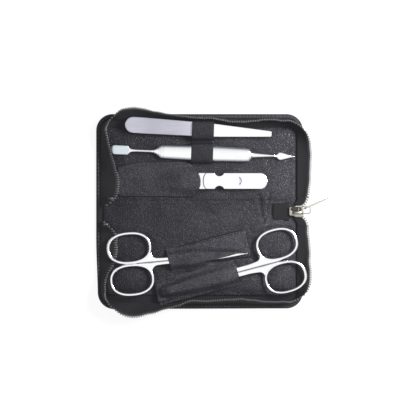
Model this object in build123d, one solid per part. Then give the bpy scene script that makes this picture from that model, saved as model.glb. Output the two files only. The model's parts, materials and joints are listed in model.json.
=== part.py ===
from build123d import *
import math
import os

# Zip-round manicure case of grained leather, shown opened flat.
# +Z points up out of the open case, X runs along the spine, Y across it.
# The origin is on the underside of the spine, at its middle. Sizes are in millimetres.

os.makedirs("parts", exist_ok=True)

# ---- driving dimensions: the case ----
half_length = 71.9          # half of the case along the spine
edge_y = 67.5               # far edge of each half, from the middle of the spine
corner_radius = 11.5
crease_y = 7.4              # fold line between the spine and each half, 2 mm up
leather_thick = 1.2
hem_width = 3.0             # turned-over edge of the outer leather
hem_height = 2.7
lining_thick = 0.8
lining_edge_z = 2.7         # the padded lining is low at its edge
lining_top_z = 4.8          # and fuller in the middle
lining_inset = 4.4          # from the leather's edge to the lining's edge
lining_slope = 11.0         # width of the rolled edge
board_thick = 0.5
spine_top_z = 3.2
spine_lining_thick = 0.6
part_gap = 0.05             # between layers that only lie on each other
tooth_gap = 0.12            # between the tape's edge and the bead of teeth

# ---- driving dimensions: the zip ----
tape_thick = 0.7
tape_inset = 3.5            # from the leather's edge to the sewn edge of the tape
tape_foot_z = 3.3
tape_start = 2.3            # from the fold line to the first tape section
tooth_depth = 2.2
tooth_thick = 1.5
sections_per_half = 60

# Where the tape's toothed edge stands, at distances along the sewn edge from its left end:
# (distance, lean outward of the sewn edge, height above it).
upper_tape_run = (
    (0, -8.2, 7.9), (9, -10.8, 3.6), (26, -7.9, 8.2), (47, -3.6, 10.8), (55, -2.0, 11.2),
    (62, 3.5, 10.8), (75, 8.2, 7.9), (93, 4.4, 10.5), (107, 2.0, 11.2), (122, 0.7, 11.4),
    (145, -1.8, 11.2), (178, -1.0, 11.3), (187, 2.1, 11.0), (197, 7.4, 6.0), (212, 9.4, 1.3),
    (235, 7.6, 1.3), (240, 5.9, 1.3),
)
lower_tape_run = (
    (0, -4.2, 9.0), (5, -8.4, 2.2), (11, -9.9, 1.8), (26, -7.6, 1.8), (32, -5.3, 6.0),
    (38, -3.3, 10.0), (48, -2.0, 11.2), (56, 0.5, 11.4), (62, 5.5, 10.0), (73, 8.4, 7.7),
    (85, 7.2, 8.8), (97, 3.8, 10.7), (109, 0.6, 11.4), (124, -1.4, 11.3), (149, -2.3, 11.1),
    (178, -0.2, 11.4), (187, 2.0, 11.2), (195, 6.9, 5.0), (203, 8.6, 1.3), (229, 7.6, 1.3),
    (240, 5.9, 1.3),
)

# ---- driving dimensions: slider and pull ----
slider_start_x, slider_end_x = 62.6, 72.3
slider_width = 8.1
slider_neck = 6.0
slider_base_z = 3.3
slider_height = 3.4
end_tab_start_x, end_tab_end_x = 51.5, 62.4
end_tab_width = 12.2
end_tab_thick = 1.4
link_bar_x, link_z = 69.0, 7.3     # the link's bar inside the slider's bridge
pull_length, pull_width, pull_thick = 17.6, 4.6, 1.0
pull_turn = 23.5
pull_eye = (75.7, 3.2)              # where the pull's slotted eye crosses the link

# ---- driving dimensions: the tools ----
tweezers_length = 103.0
tweezers_wide, tweezers_middle, tweezers_tip = 11.3, 9.2, 3.9
tweezers_mid_z = 8.4
tweezers_spread = 2.2       # how far each arm bows away from the middle plane
tweezers_sheet = 1.0
tweezers_start = (-52.6, 59.9)
tweezers_turn = -3.6

pusher_start = (-61.7, 43.0)
pusher_turn = -2.2
pusher_z = 7.7              # middle plane of the pusher
pusher_handle_width, pusher_handle_thick = 11.4, 4.0

clipper_pin_x, clipper_y = 5.5, 21.1
clipper_width = 10.9
clipper_tail_x = 47.6
clipper_edge_x = -8.0       # cutting edge, hidden in the pocket
clipper_base_z = 5.5
jaw_sheet = 0.9
lever_sheet = 1.1
lever_z = 10.7              # underside of the lever over its pin
lever_axle_z = lever_z - 0.7
lever_turn = 2.2            # the lever slopes down to its tail
rivet_x = 43.0
notch_x, moon_x = 13.8, 26.2

scissors_mid_z = 8.2
blade_sheet = 1.25
handle_thick = 2.4
ring_wall = 2.0
# ring_at and ring_out place the middle of a finger ring behind and beside the pivot.
left_scissors = {"pivot": (-3.5, -32.45), "turn": 5.5, "blade": 37.2, "ring_at": 45.1, "ring_out": 11.2,
                 "ring_long": 30.8, "ring_wide": 22.4, "shank": 4.9, "flare": 5.6, "boss": 3.2}
right_scissors = {"pivot": (12.8, -45.9), "turn": 194.6, "blade": 38.5, "ring_at": 45.3, "ring_out": 11.9,
                  "ring_long": 30.4, "ring_wide": 23.4, "shank": 7.3, "flare": 9.4, "boss": 4.1}
screw_radius = 1.5
screw_play = 0.05

# ---- driving dimensions: what holds the tools ----
holder_leather = 0.8
strap_x = (-5.8, 9.6)
tweezers_loop_half = 6.0
pusher_loop_half = 6.2
holder_gap = 1.0            # room over the blades inside a sheath
tweezers_loop_top, pusher_loop_top = 12.4, 10.9
loop_leather = 0.7


def write(name, shape):
    export_step(shape, f"parts/{name}.step")


def prism(points, low_z, high_z):
    """Straight-sided piece on a plan outline, between two heights."""
    return extrude(Plane.XY.offset(low_z) * make_face(Polyline(*points, close=True)), high_z - low_z)


def half_outline(inset, crease_gap, radius):
    """Plan of one half of the case: square to the spine, round at the far corners."""
    x, near, far = half_length - inset, crease_y + crease_gap, edge_y - inset
    outline = FilletPolyline((-x, near), (-x, far), (x, far), (x, near), radius=radius)
    return make_face(outline + Line((x, near), (-x, near)))


def mirrored(shape, upper):
    return shape if upper else mirror(shape, about=Plane.XZ)


# ---- one half of the cover ----

def cover_leather():
    """Outer leather with its turned-over hem round three sides."""
    sheet = extrude(half_outline(0, part_gap, corner_radius), leather_thick)
    hem = extrude(half_outline(0, 1.0, corner_radius), hem_height)
    hem -= extrude(half_outline(hem_width, -1.0, corner_radius - hem_width), hem_height + 1)
    return sheet + hem


def padded_form(shrink):
    """The padding with its rolled edge; shrink is how far in from the lining's outside."""
    edge, crest = lining_inset + shrink, lining_inset + lining_slope
    low = Plane.XY.offset(lining_edge_z - shrink) * half_outline(edge, 0.8 + shrink, 6.5 - shrink)
    top = Plane.XY.offset(lining_top_z - shrink) * half_outline(crest, 3.0 + shrink, 3.0)
    foot = Plane.XY.offset(leather_thick + part_gap) * half_outline(edge, 0.8 + shrink, 6.5 - shrink)
    return extrude(foot, lining_edge_z - shrink - leather_thick - part_gap) + loft([low, top], ruled=True)


def cover_lining():
    return padded_form(0) - padded_form(lining_thick)


def cover_board():
    level = leather_thick + part_gap
    edge = lining_inset + lining_thick + 0.4
    plate = Plane.XY.offset(level) * half_outline(edge, 1.8, 5.5)
    return extrude(plate, board_thick)


def cover_foam():
    level = leather_thick + 2 * part_gap + board_thick
    inner = padded_form(lining_thick + part_gap)
    return inner - Pos(0, 0, level - 20) * Box(400, 400, 40)


# ---- zip ----

def smooth_value(run, distance, column):
    """Eases from one station's value to the next, level at each."""
    for before, after in zip(run, run[1:]):
        if distance <= after[0]:
            share = (distance - before[0]) / (after[0] - before[0])
            share = share * share * (3 - 2 * share)
            return before[column] + share * (after[column] - before[column])
    return run[-1][column]


def sewn_line():
    x, far = half_length - tape_inset, edge_y - tape_inset
    near = crease_y + tape_start
    return FilletPolyline((-x, near), (-x, far), (x, far), (x, near), radius=corner_radius - tape_inset)


def tape_frames(run):
    """At even steps along the sewn line: its point, the direction up the tape, the tape's reach
    to its toothed edge, and the direction through the tape."""
    line = sewn_line()
    for index in range(sections_per_half + 1):
        share = index / sections_per_half
        foot, along = line @ share, line % share
        outward = Vector(-along.Y, along.X, 0)
        lean, height = (smooth_value(run, share * line.length, column) for column in (1, 2))
        up_tape = (outward * lean + Vector(0, 0, height)).normalized()
        through = up_tape.cross(along).normalized()
        yield Vector(foot.X, foot.Y, tape_foot_z), up_tape, math.hypot(lean, height), through


def band_along(sections):
    """Solid band through cross-sections given as lists of corners, joined by flat triangles."""
    skins = [make_face(Polyline(*section, close=True)) for section in (sections[0], sections[-1])]
    for before, after in zip(sections, sections[1:]):
        for corner, point in enumerate(before):
            following = (corner + 1) % len(before)
            skins.append(make_face(Polyline(point, before[following], after[following], close=True)))
            skins.append(make_face(Polyline(point, after[following], after[corner], close=True)))
    solid = Solid(Shell(skins))
    return solid if solid.volume > 0 else Solid(solid.wrapped.Reversed())


def zip_tape(run):
    sections = []
    for foot, up_tape, reach, through in tape_frames(run):
        side, edge = through * (tape_thick / 2), foot + up_tape * reach
        sections.append([foot - side, edge - side, edge + side, foot + side])
    return band_along(sections)


def zip_teeth(run):
    """The toothed edge: a six-sided bead along the free edge of the tape."""
    sections = []
    for foot, up_tape, reach, through in tape_frames(run):
        side = through * (tooth_thick / 2)
        root = foot + up_tape * (reach + tooth_gap)
        middle, tip = root + up_tape * (tooth_depth / 2), root + up_tape * tooth_depth
        sections.append([root - side * 0.5, middle - side, tip - side * 0.5,
                         tip + side * 0.5, middle + side, root + side * 0.5])
    return band_along(sections)


def top_stop(run):
    """Metal clip closed over the left end of the toothed edge."""
    foot = sewn_line() @ 0
    lean, height = run[0][1], run[0][2]
    reach = math.hypot(lean, height)
    turn = math.degrees(math.atan2(height, -lean))
    clip = Box(2.6, 1.2, 2.2) - Pos(-0.8, 0, 0) * Box(2.6, 1.3, tape_thick + 0.1)
    return Pos(foot.X, foot.Y - 0.7, tape_foot_z) * Rot(0, -turn, 0) * Pos(reach - 1.6, 0, 0) * clip


# ---- spine ----

def spine_leather():
    return Pos(0, 0, leather_thick / 2) * Box(2 * half_length, 2 * (crease_y - part_gap), leather_thick)


def spine_form(shrink):
    """Low padded ridge along the spine; shrink is how far in from the lining's outside."""
    half, top = crease_y - 0.7 - shrink, spine_top_z - shrink
    length = half_length - lining_inset - shrink
    base, side_z, slope = leather_thick + part_gap, 2.0 - shrink / 2, 1.6
    section = Polyline((0, -half, base), (0, -half, side_z), (0, -half + slope, top),
                       (0, half - slope, top), (0, half, side_z), (0, half, base), close=True)
    return Pos(-length, 0, 0) * extrude(make_face(section), 2 * length, dir=(1, 0, 0))


def spine_lining():
    return spine_form(0) - spine_form(spine_lining_thick)


def spine_padding():
    return spine_form(spine_lining_thick + part_gap)


def spine_zip_tape():
    """The two tapes where they part from the slider and cross to the folds."""
    side, mouth = slider_width / 2 + 0.2, slider_end_x + 0.15
    wing = prism([(66.5, side), (mouth, side), (mouth, 1.3), (73.6, 2.4), (75.8, 6.4), (68.0, 6.4)],
                 slider_base_z + 0.1, slider_base_z + 0.1 + tape_thick)
    return Compound([wing, mirror(wing, about=Plane.XZ)])


def zip_end_tab():
    """Fabric tab folded over the joined end of the zip and sewn to the spine, with sloping sides."""
    wide, narrow = end_tab_width / 2, end_tab_width / 2 - 1.7
    base, top = slider_base_z, slider_base_z + end_tab_thick
    section = Polyline((end_tab_start_x, -wide, base), (end_tab_start_x, wide, base),
                       (end_tab_start_x, narrow, top), (end_tab_start_x, -narrow, top), close=True)
    tab = extrude(make_face(section), end_tab_end_x - end_tab_start_x, dir=(1, 0, 0))
    fold = Pos(end_tab_start_x + 1.2, 0, top + 0.2) * Box(2.4, 2 * narrow - 1.4, 0.5)
    return tab + fold


def slider_body():
    """Wedge-shaped slider: wide mouth to the right, narrow tail, and a bridge for the pull."""
    half, neck = slider_width / 2, slider_neck / 2
    neck_x = slider_start_x + 2.7
    outline = [(slider_start_x, -neck), (neck_x, -neck), (neck_x + 1.2, -half), (slider_end_x - 0.8, -half),
               (slider_end_x, -half + 0.8), (slider_end_x, half - 0.8), (slider_end_x - 0.8, half),
               (neck_x + 1.2, half), (neck_x, neck), (slider_start_x, neck)]
    body = prism(outline, slider_base_z, slider_base_z + slider_height)
    channel = Pos(slider_end_x, 0, slider_base_z + slider_height / 2)
    mouth = channel * Pos(-1.5, 0, 0) * Box(4.4, slider_width - 1.6, slider_height - 1.8)
    wedge = channel * Pos(-1.4, 0, 0) * Box(4.6, 1.6, slider_height)
    body = fillet(body.edges().filter_by(Axis.X).group_by(Axis.Z)[-1], 0.5)
    body = body - mouth + wedge
    bridge = Pos(link_bar_x - 0.8, 0, slider_base_z + slider_height + 0.85) * Box(6.0, 1.8, 1.9)
    bridge -= Pos(link_bar_x - 0.3, 0, slider_base_z + slider_height + 0.6) * Box(3.6, 2.0, 1.3)
    return body + bridge


def pull_link():
    """Small square wire link through the slider's bridge."""
    loop = fillet(Box(8.6, 5.4, 0.7).edges().filter_by(Axis.Z), 1.0)
    return Pos(link_bar_x + 3.95, 0.9, link_z) * (loop - Box(7.2, 3.9, 1.0))


def pull_tab():
    """Thin flat pull, standing on its edge, with a slotted eye for the link."""
    eye_long, eye_high, eye_end = 4.6, 1.5, 0.8
    slot = Pos(-pull_length / 2 + eye_end + eye_long / 2, 0) * Rectangle(eye_long, eye_high)
    view = RectangleRounded(pull_length, pull_width, 1.2) - slot
    blade = extrude(Plane.XZ * view, pull_thick / 2, both=True)
    blade = Pos(pull_length / 2 - eye_end - eye_long / 2, 0, 0) * blade
    return Pos(*pull_eye, link_z) * Rot(0, 0, pull_turn) * blade


# ---- leather that holds the tools ----

def band(profile, low_x, high_x):
    """Leather band along X whose side view is a closed list of (across, height) points."""
    face = make_face(Polyline(*[(low_x, y, z) for y, z in profile], close=True))
    return extrude(face, high_x - low_x, dir=(1, 0, 0))


def loop_profile(half, top, floor, wall):
    """Side view of a leather loop: flat feet beside a raised, round-shouldered middle."""
    shoulder = 1.6
    outside = [(-half - wall, floor), (-half - wall, top - shoulder), (-half - wall + shoulder, top),
               (half + wall - shoulder, top), (half + wall, top - shoulder), (half + wall, floor)]
    inside = [(half, floor), (half, top - shoulder), (half - shoulder + wall / 2, top - wall),
              (-half + shoulder - wall / 2, top - wall), (-half, top - shoulder), (-half, floor)]
    return outside + inside


def tool_strap():
    """One strap with two raised loops, sewn down between them and at its ends."""
    floor, wall = lining_top_z + part_gap, holder_leather
    length = strap_x[1] - strap_x[0]
    middle_x = (strap_x[0] + strap_x[1]) / 2
    upper_y, lower_y = tweezers_line_y(middle_x), pusher_line_y(middle_x)
    tall_side = loop_profile(tweezers_loop_half, tweezers_loop_top, floor, loop_leather)
    low_side = loop_profile(pusher_loop_half, pusher_loop_top, floor, loop_leather)
    tall, low = (band(side_view, -length / 2, length / 2) for side_view in (tall_side, low_side))
    tall = Pos(middle_x + 0.4, upper_y, 0) * Rot(0, 0, tweezers_turn) * tall
    low = Pos(middle_x - 0.4, lower_y, 0) * Rot(0, 0, pusher_turn) * low
    seam_low, seam_high = lower_y + pusher_loop_half + 0.2, upper_y - tweezers_loop_half - 0.2
    seam = prism([(strap_x[0] - 0.3, seam_low), (strap_x[1] - 0.6, seam_low),
                  (strap_x[1], seam_high), (strap_x[0] + 0.3, seam_high)], floor, floor + wall)
    tail_low = lower_y - pusher_loop_half - 1.6
    tail = prism([(strap_x[0] + 0.6, tail_low), (strap_x[1] - 1.0, tail_low),
                  (strap_x[1] - 0.8, tail_low + 1.4), (strap_x[0] + 0.8, tail_low + 1.4)],
                 floor, floor + wall)
    return tall + low + seam + tail


def tweezers_line_y(x):
    return tweezers_start[1] + (x - tweezers_start[0]) * math.tan(math.radians(tweezers_turn))


def pusher_line_y(x):
    return pusher_start[1] + (x - pusher_start[0]) * math.tan(math.radians(pusher_turn))


def raised_form(stations, floor, grow):
    """Round-shouldered form through stations of (along, half width, height over the floor)."""
    faces = []
    for x, half, height in stations:
        side, top = half + grow, height + grow
        faces.append(make_face(Polyline((x, -side, floor), (x, -side + 1.0, floor + top * 0.8),
                                        (x, -side + 2.6, floor + top), (x, side - 2.6, floor + top),
                                        (x, side - 1.0, floor + top * 0.8), (x, side, floor), close=True)))
    return loft(faces, ruled=True)


def scissors_sheath(sizes, panel, mouth_at, end_at, half):
    """Leather panel sewn to the lining, with a raised passage for shank and blades."""
    floor = lining_top_z + part_gap
    length = end_at - mouth_at
    inner_top = scissors_mid_z + blade_sheet + holder_gap - floor
    outer = raised_form([(0, half, inner_top), (length, half, inner_top)], floor, holder_leather)
    inner = raised_form([(-1, half, inner_top), (length + 1, half, inner_top)], floor, 0)
    place = Pos(*sizes["pivot"], 0) * Rot(0, 0, sizes["turn"]) * Pos(mouth_at, 0, 0)
    flat = prism(panel, floor, floor + holder_leather)
    return flat + place * (outer - inner)


def left_sheath():
    panel = [(-22.8, -26.5), (-20.6, -26.6), (-0.2, -20.7), (31.1, -12.6), (32.2, -12.6), (37.0, -31.0),
             (36.0, -31.4), (3.0, -35.6), (-19.3, -40.0), (-20.2, -39.4)]
    return scissors_sheath(left_scissors, panel, -18.4, 15.0, 4.9)


def right_sheath():
    panel = [(-31.2, -49.5), (-29.8, -49.2), (14.9, -38.1), (25.3, -35.2), (27.8, -46.2),
             (11.4, -52.4), (-25.8, -63.2), (-28.6, -62.9)]
    return scissors_sheath(right_scissors, panel, -14.6, 42.4, 5.5)


def clipper_pocket():
    """Leather pocket sewn on three sides, rising slowly to its mouth over the clipper's jaws."""
    floor = lining_top_z + part_gap
    flat = prism([(-57.0, 30.7), (-44.7, 33.4), (-34.8, 34.2), (-8.0, 34.5), (-4.0, 30.4), (-1.0, 28.4),
                  (-1.0, 13.8), (-3.5, 10.3), (-55.3, 11.0), (-57.0, 14.0)], floor, floor + holder_leather)
    wide = clipper_width / 2 + 1.6
    outer = raised_form([(0, wide, 4.6), (9.8, wide - 0.1, 4.5), (30, 5.0, 0.5)], floor, 0.7)
    inner = raised_form([(-1, wide, 4.6), (9.8, wide - 0.1, 4.5), (28, 5.0, 0.5)], floor, 0)
    place = Pos(0.4, clipper_y, 0) * Rot(0, 0, 180)
    return (flat + place * outer) - place * inner


# ---- tweezers ----

def tweezers_arm(side):
    """One sprung arm: a bowed side view cut to the arm's tapering plan."""
    s = side
    skin = tweezers_sheet
    outer = [(0, 0), (13, skin), (40, skin + tweezers_spread * 0.72), (64, skin + tweezers_spread * 0.82),
             (tweezers_length, 2.6)]
    inner = [(tweezers_length, 1.7), (64, tweezers_spread * 0.82), (40, tweezers_spread * 0.72),
             (14, 0.03), (0, 0.03)]
    outer[0] = (0, skin)
    side_view = make_face(Polyline(*[(x, 0, s * z) for x, z in outer + inner], close=True))
    bowed = extrude(side_view, 20, dir=(0, 1, 0), both=True)
    wide, middle, tip = tweezers_wide / 2, tweezers_middle / 2, tweezers_tip / 2
    outline = make_face(Polyline((0, -1.6), (0, 1.6), (0.9, 3.6), (2.7, 5.0), (6.5, wide), (14, wide - 0.05),
                                 (64, middle), (tweezers_length - 0.6, tip), (tweezers_length, tip - 0.7),
                                 (tweezers_length, -tip), (64, -middle), (14, -wide + 0.05), (6.5, -wide),
                                 (2.7, -5.0), (0.9, -3.6), close=True))
    plan = extrude(Plane.XY.offset(-20) * outline, 40)
    arm = bowed & plan
    return Pos(*tweezers_start, tweezers_mid_z) * Rot(0, 0, tweezers_turn) * arm


# ---- cuticle pusher ----

def cuticle_pusher():
    """Spade, neck, flat oval handle, neck and arrow point, all one forging."""
    half, thick = pusher_handle_width / 2, pusher_handle_thick / 2

    def oval(x, wide, high):
        return Plane(origin=(x, 0, 0), x_dir=(0, 1, 0), z_dir=(1, 0, 0)) * make_face(
            RectangleRounded(2 * wide, 2 * high, min(wide, high) * 0.98).wire())

    handle = loft([oval(34.6, 3.2, 1.0), oval(38.5, half - 0.9, 1.6), oval(58, half - 0.2, thick),
                   oval(75, half, thick), oval(96, half - 0.6, thick), oval(98.2, half - 0.8, thick - 0.1)],
                  ruled=True)
    spade_neck = loft([oval(16, 1.4, 0.5), oval(20, 1.0, 0.75), oval(31, 1.5, 1.0), oval(35, 3.2, 1.0)],
                      ruled=True)
    spade = prism([(0, -2.2), (0, 2.2), (1.4, 3.35), (13.6, 3.35), (16.6, 1.4), (16.6, -1.4), (13.6, -3.35),
                   (1.4, -3.35)], -0.5, 0.5)
    arrow_neck = loft([oval(98, 1.9, 1.2), oval(115, 1.6, 0.9)], ruled=True)
    arrow = prism([(114.5, -1.6), (116, -2.2), (118.5, -4.1), (119.6, -4.1), (127.3, -0.5), (127.3, 0.5),
                   (119.6, 4.1), (118.5, 4.1), (116, 2.2), (114.5, 1.6)], -0.7, 0.7)
    whole = handle + spade_neck + spade + arrow_neck + arrow
    return Pos(*pusher_start, pusher_z) * Rot(0, 0, pusher_turn) * whole


# ---- nail clipper ----

def waist_notch(x, y):
    return Pos(x, y, 0) * Cylinder(3.6, 90)


def jaw_plan(tail_x):
    """Plan of both jaws: convex cutting edge, a waist notch each side, round tail at the right."""
    half = clipper_width / 2
    edge, low, high = clipper_edge_x, clipper_y - half, clipper_y + half
    outline = (ThreePointArc((edge + 1.2, low), (edge, clipper_y), (edge + 1.2, high))
               + Line((edge + 1.2, high), (tail_x - 4.6, high))
               + ThreePointArc((tail_x - 4.6, high), (tail_x, clipper_y), (tail_x - 4.6, low))
               + Line((tail_x - 4.6, low), (edge + 1.2, low)))
    plan = extrude(make_face(outline), 40)
    for side in (1, -1):
        plan -= waist_notch(notch_x, clipper_y + side * (half + 1.5))
    return plan


def jaw_side(points):
    view = make_face(Polyline(*[(x, 0, z) for x, z in points], close=True))
    return extrude(view, 40, dir=(0, 1, 0))


def pin_hole(radius):
    return Pos(clipper_pin_x, clipper_y, 8) * Cylinder(radius, 30)


def rivet_hole(radius):
    return Pos(rivet_x, clipper_y, 8) * Cylinder(radius, 30)


def clipper_lower_jaw():
    base, top = clipper_base_z, clipper_base_z + jaw_sheet
    edge = clipper_edge_x
    side = jaw_side([(edge + 1.6, base), (50, base), (50, top), (edge + 2.6, top), (edge + 0.9, top + 0.35),
                     (edge - 1, top + 0.35), (edge - 1, top + 0.2), (edge + 0.4, top + 0.2)])
    return (side & jaw_plan(clipper_tail_x - 1)) - pin_hole(1.3) - rivet_hole(1.3)


def clipper_upper_jaw():
    base, rise = clipper_base_z + jaw_sheet + part_gap, 1.5
    edge = clipper_edge_x
    side = jaw_side([(50, base), (50, base + jaw_sheet), (43, base + jaw_sheet),
                     (clipper_pin_x, base + rise + jaw_sheet), (edge + 1.8, base + rise + jaw_sheet - 0.1),
                     (edge - 1, base + rise), (edge - 1, base + 1.3), (edge + 0.6, base + 1.3),
                     (edge + 2.8, base + rise), (clipper_pin_x, base + rise), (43, base)])
    return (side & jaw_plan(clipper_tail_x - 1)) - pin_hole(1.7) - rivet_hole(1.4)


def clipper_rivet():
    stack, upright = 2 * jaw_sheet + 0.15, (Align.CENTER, Align.CENTER, Align.MIN)
    shank = Cylinder(1.3, stack, align=upright)
    head = Pos(0, 0, stack - 0.03) * Cylinder(2.0, 0.4, align=upright)
    return Pos(rivet_x, clipper_y, clipper_base_z) * (shank + head)


def clipper_pin():
    """Pin through both jaws, with a foot below and a cross-bar that the lever rocks on."""
    upright = (Align.CENTER, Align.CENTER, Align.MIN)
    height = lever_axle_z - clipper_base_z
    foot = Pos(0, 0, -0.45) * Cylinder(2.3, 0.4, align=upright)
    shank = Pos(0, 0, -0.2) * Cylinder(1.2, height, align=upright)
    bar = Pos(0, 0, height) * Rot(90, 0, 0) * Cylinder(0.45, 6.4)
    return Pos(clipper_pin_x, clipper_y, clipper_base_z) * (foot + shank + bar)


def clipper_lever():
    """Thumb lever with a round head, a waist notch each side and a half-moon thumb dimple."""
    half, head_x, tail_x = clipper_width / 2, 2.3 - clipper_pin_x, clipper_tail_x - clipper_pin_x
    outline = (ThreePointArc((head_x + 2.3, -half), (head_x, 0), (head_x + 2.3, half))
               + Line((head_x + 2.3, half), (tail_x - 4.8, half))
               + ThreePointArc((tail_x - 4.8, half), (tail_x, 0), (tail_x - 4.8, -half))
               + Line((tail_x - 4.8, -half), (head_x + 2.3, -half)))
    plate = extrude(make_face(outline), lever_sheet)
    for side in (1, -1):
        plate -= waist_notch(notch_x - clipper_pin_x, side * (half + 1.5))
    moon = Cylinder(3.6, 0.6) - Pos(-2.2, 0, 0) * Cylinder(4.6, 1)
    plate -= Pos(moon_x - clipper_pin_x, 0, lever_sheet) * moon
    for side in (1, -1):
        ear = Pos(0, side * 2.5, -0.7) * Rot(90, 0, 0) * (Cylinder(0.9, 1.0))
        neck = Pos(0, side * 2.5, -0.3) * Box(1.8, 1.0, 0.8)
        plate += ear + neck
    plate -= Pos(0, 0, -0.7) * Rot(90, 0, 0) * Cylinder(0.5, 6.9)
    return Pos(clipper_pin_x, clipper_y, lever_z) * Rot(0, lever_turn, 0) * plate


# ---- scissors ----

def oval_face(long_size, wide_size):
    """Finger ring outline: an oval a little fuller than an ellipse, of four tangent arcs."""
    a, b = long_size / 2, wide_size / 2
    return make_face(Spline((a, 0), (a * 0.76, b * 0.74), (0, b), (-a * 0.76, b * 0.74), (-a, 0),
                            (-a * 0.76, -b * 0.74), (0, -b), (a * 0.76, -b * 0.74), periodic=True))


def scissors_half(sizes):
    """Upper half, tip towards +X and its ring on the +Y side; the pivot is at the origin."""
    ring_x, ring_y = -sizes["ring_at"], sizes["ring_out"]
    ring_long, ring_wide = sizes["ring_long"], sizes["ring_wide"]
    shank, flare, boss = sizes["shank"] / 2, sizes["flare"] / 2, sizes["boss"]
    front = ring_x + ring_long / 2
    clear = 0.08
    ring = Pos(ring_x, ring_y) * oval_face(ring_long, ring_wide)
    hole = Pos(ring_x, ring_y) * oval_face(ring_long - 2 * ring_wall, ring_wide - 2 * ring_wall)
    web = make_face(Polyline((-5.2, clear), (-5.2, shank), (front + 10, shank), (front + 3.5, flare),
                             (front + 1.2, flare + 1.6), (front + 0.1, ring_y - 3.0), (ring_x, ring_y),
                             (ring_x - 2, clear), close=True))
    handle = Plane.XY.offset(-handle_thick / 2) * (ring + web - hole)
    beyond = Pos(ring_x, clear - 10, 0) * Box(200, 20, 20)
    handle = extrude(handle, handle_thick) - beyond
    length = sizes["blade"]
    back_edge = [(-9.0, shank), (-3.6, shank + 0.1), (-1.4, boss - 0.1), (1.4, boss - 0.1),
                 (4.4, boss * 0.62), (length * 0.6, 1.05), (length, 0.15)]
    cutting_edge = [(length, -0.25), (length * 0.7, -1.5), (length * 0.35, -2.3), (5.0, -boss + 0.3)]
    heel = [(1.4, -boss), (-1.4, -boss), (-boss + 0.3, -1.6), (-boss, clear + 0.2)]
    blade = make_face(Polyline((-9.0, clear + 0.2), *back_edge, *cutting_edge, *heel, close=True))
    blade = extrude(Plane.XY.offset(0.03) * blade, blade_sheet - 0.03)
    grind = Plane(origin=(length * 0.35, 1.0, blade_sheet + 0.25), x_dir=(1, 0, 0), z_dir=(0, 0.42, 1))
    blade -= grind * Box(length * 1.4, 6, 1.6, align=(Align.MIN, Align.CENTER, Align.MIN))
    return handle + blade


def scissors_pair(sizes):
    """Two like halves, the lower one turned over about the long axis, and the pivot screw."""
    place = Pos(*sizes["pivot"], scissors_mid_z) * Rot(0, 0, sizes["turn"])
    half = scissors_half(sizes)
    upper = half - Cylinder(screw_radius + screw_play, 20)
    lower = Rot(180, 0, 0) * half - Cylinder(screw_radius, 20)
    screw = Cylinder(screw_radius, 2 * blade_sheet + 0.3)
    screw += Pos(0, 0, blade_sheet + 0.35) * Cylinder(screw_radius + 0.9, 0.5)
    screw -= Pos(0, 0, blade_sheet + 0.55) * Rot(0, 0, 35) * Box(6, 0.5, 0.3)
    return place * upper, place * lower, place * screw


def main():
    for upper, side, run in ((True, "upper", upper_tape_run), (False, "lower", lower_tape_run)):
        write(f"{side}_cover_leather", mirrored(cover_leather(), upper))
        write(f"{side}_board", mirrored(cover_board(), upper))
        write(f"{side}_foam_pad", mirrored(cover_foam(), upper))
        write(f"{side}_lining", mirrored(cover_lining(), upper))
        write(f"{side}_zip_tape", mirrored(zip_tape(run), upper))
        write(f"{side}_zip_teeth", mirrored(zip_teeth(run), upper))
        write(f"{side}_top_stop", mirrored(top_stop(run), upper))
    write("spine_leather", spine_leather())
    write("spine_lining", spine_lining())
    write("spine_padding", spine_padding())
    write("spine_zip_tape", spine_zip_tape())
    write("zip_end_tab", zip_end_tab())
    write("slider_body", slider_body())
    write("pull_link", pull_link())
    write("pull_tab", pull_tab())
    write("tool_strap", tool_strap())
    write("left_scissors_sheath", left_sheath())
    write("right_scissors_sheath", right_sheath())
    write("clipper_pocket", clipper_pocket())
    write("tweezers_lower_arm", tweezers_arm(-1))
    write("tweezers_upper_arm", tweezers_arm(1))
    write("cuticle_pusher", cuticle_pusher())
    write("clipper_lower_jaw", clipper_lower_jaw())
    write("clipper_upper_jaw", clipper_upper_jaw())
    write("clipper_rivet", clipper_rivet())
    write("clipper_pin", clipper_pin())
    write("clipper_lever", clipper_lever())
    for name, sizes in (("left_scissors", left_scissors), ("right_scissors", right_scissors)):
        upper, lower, screw = scissors_pair(sizes)
        write(f"{name}_upper_half", upper)
        write(f"{name}_lower_half", lower)
        write(f"{name}_screw", screw)


main()
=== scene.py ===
import json
import math

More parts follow.
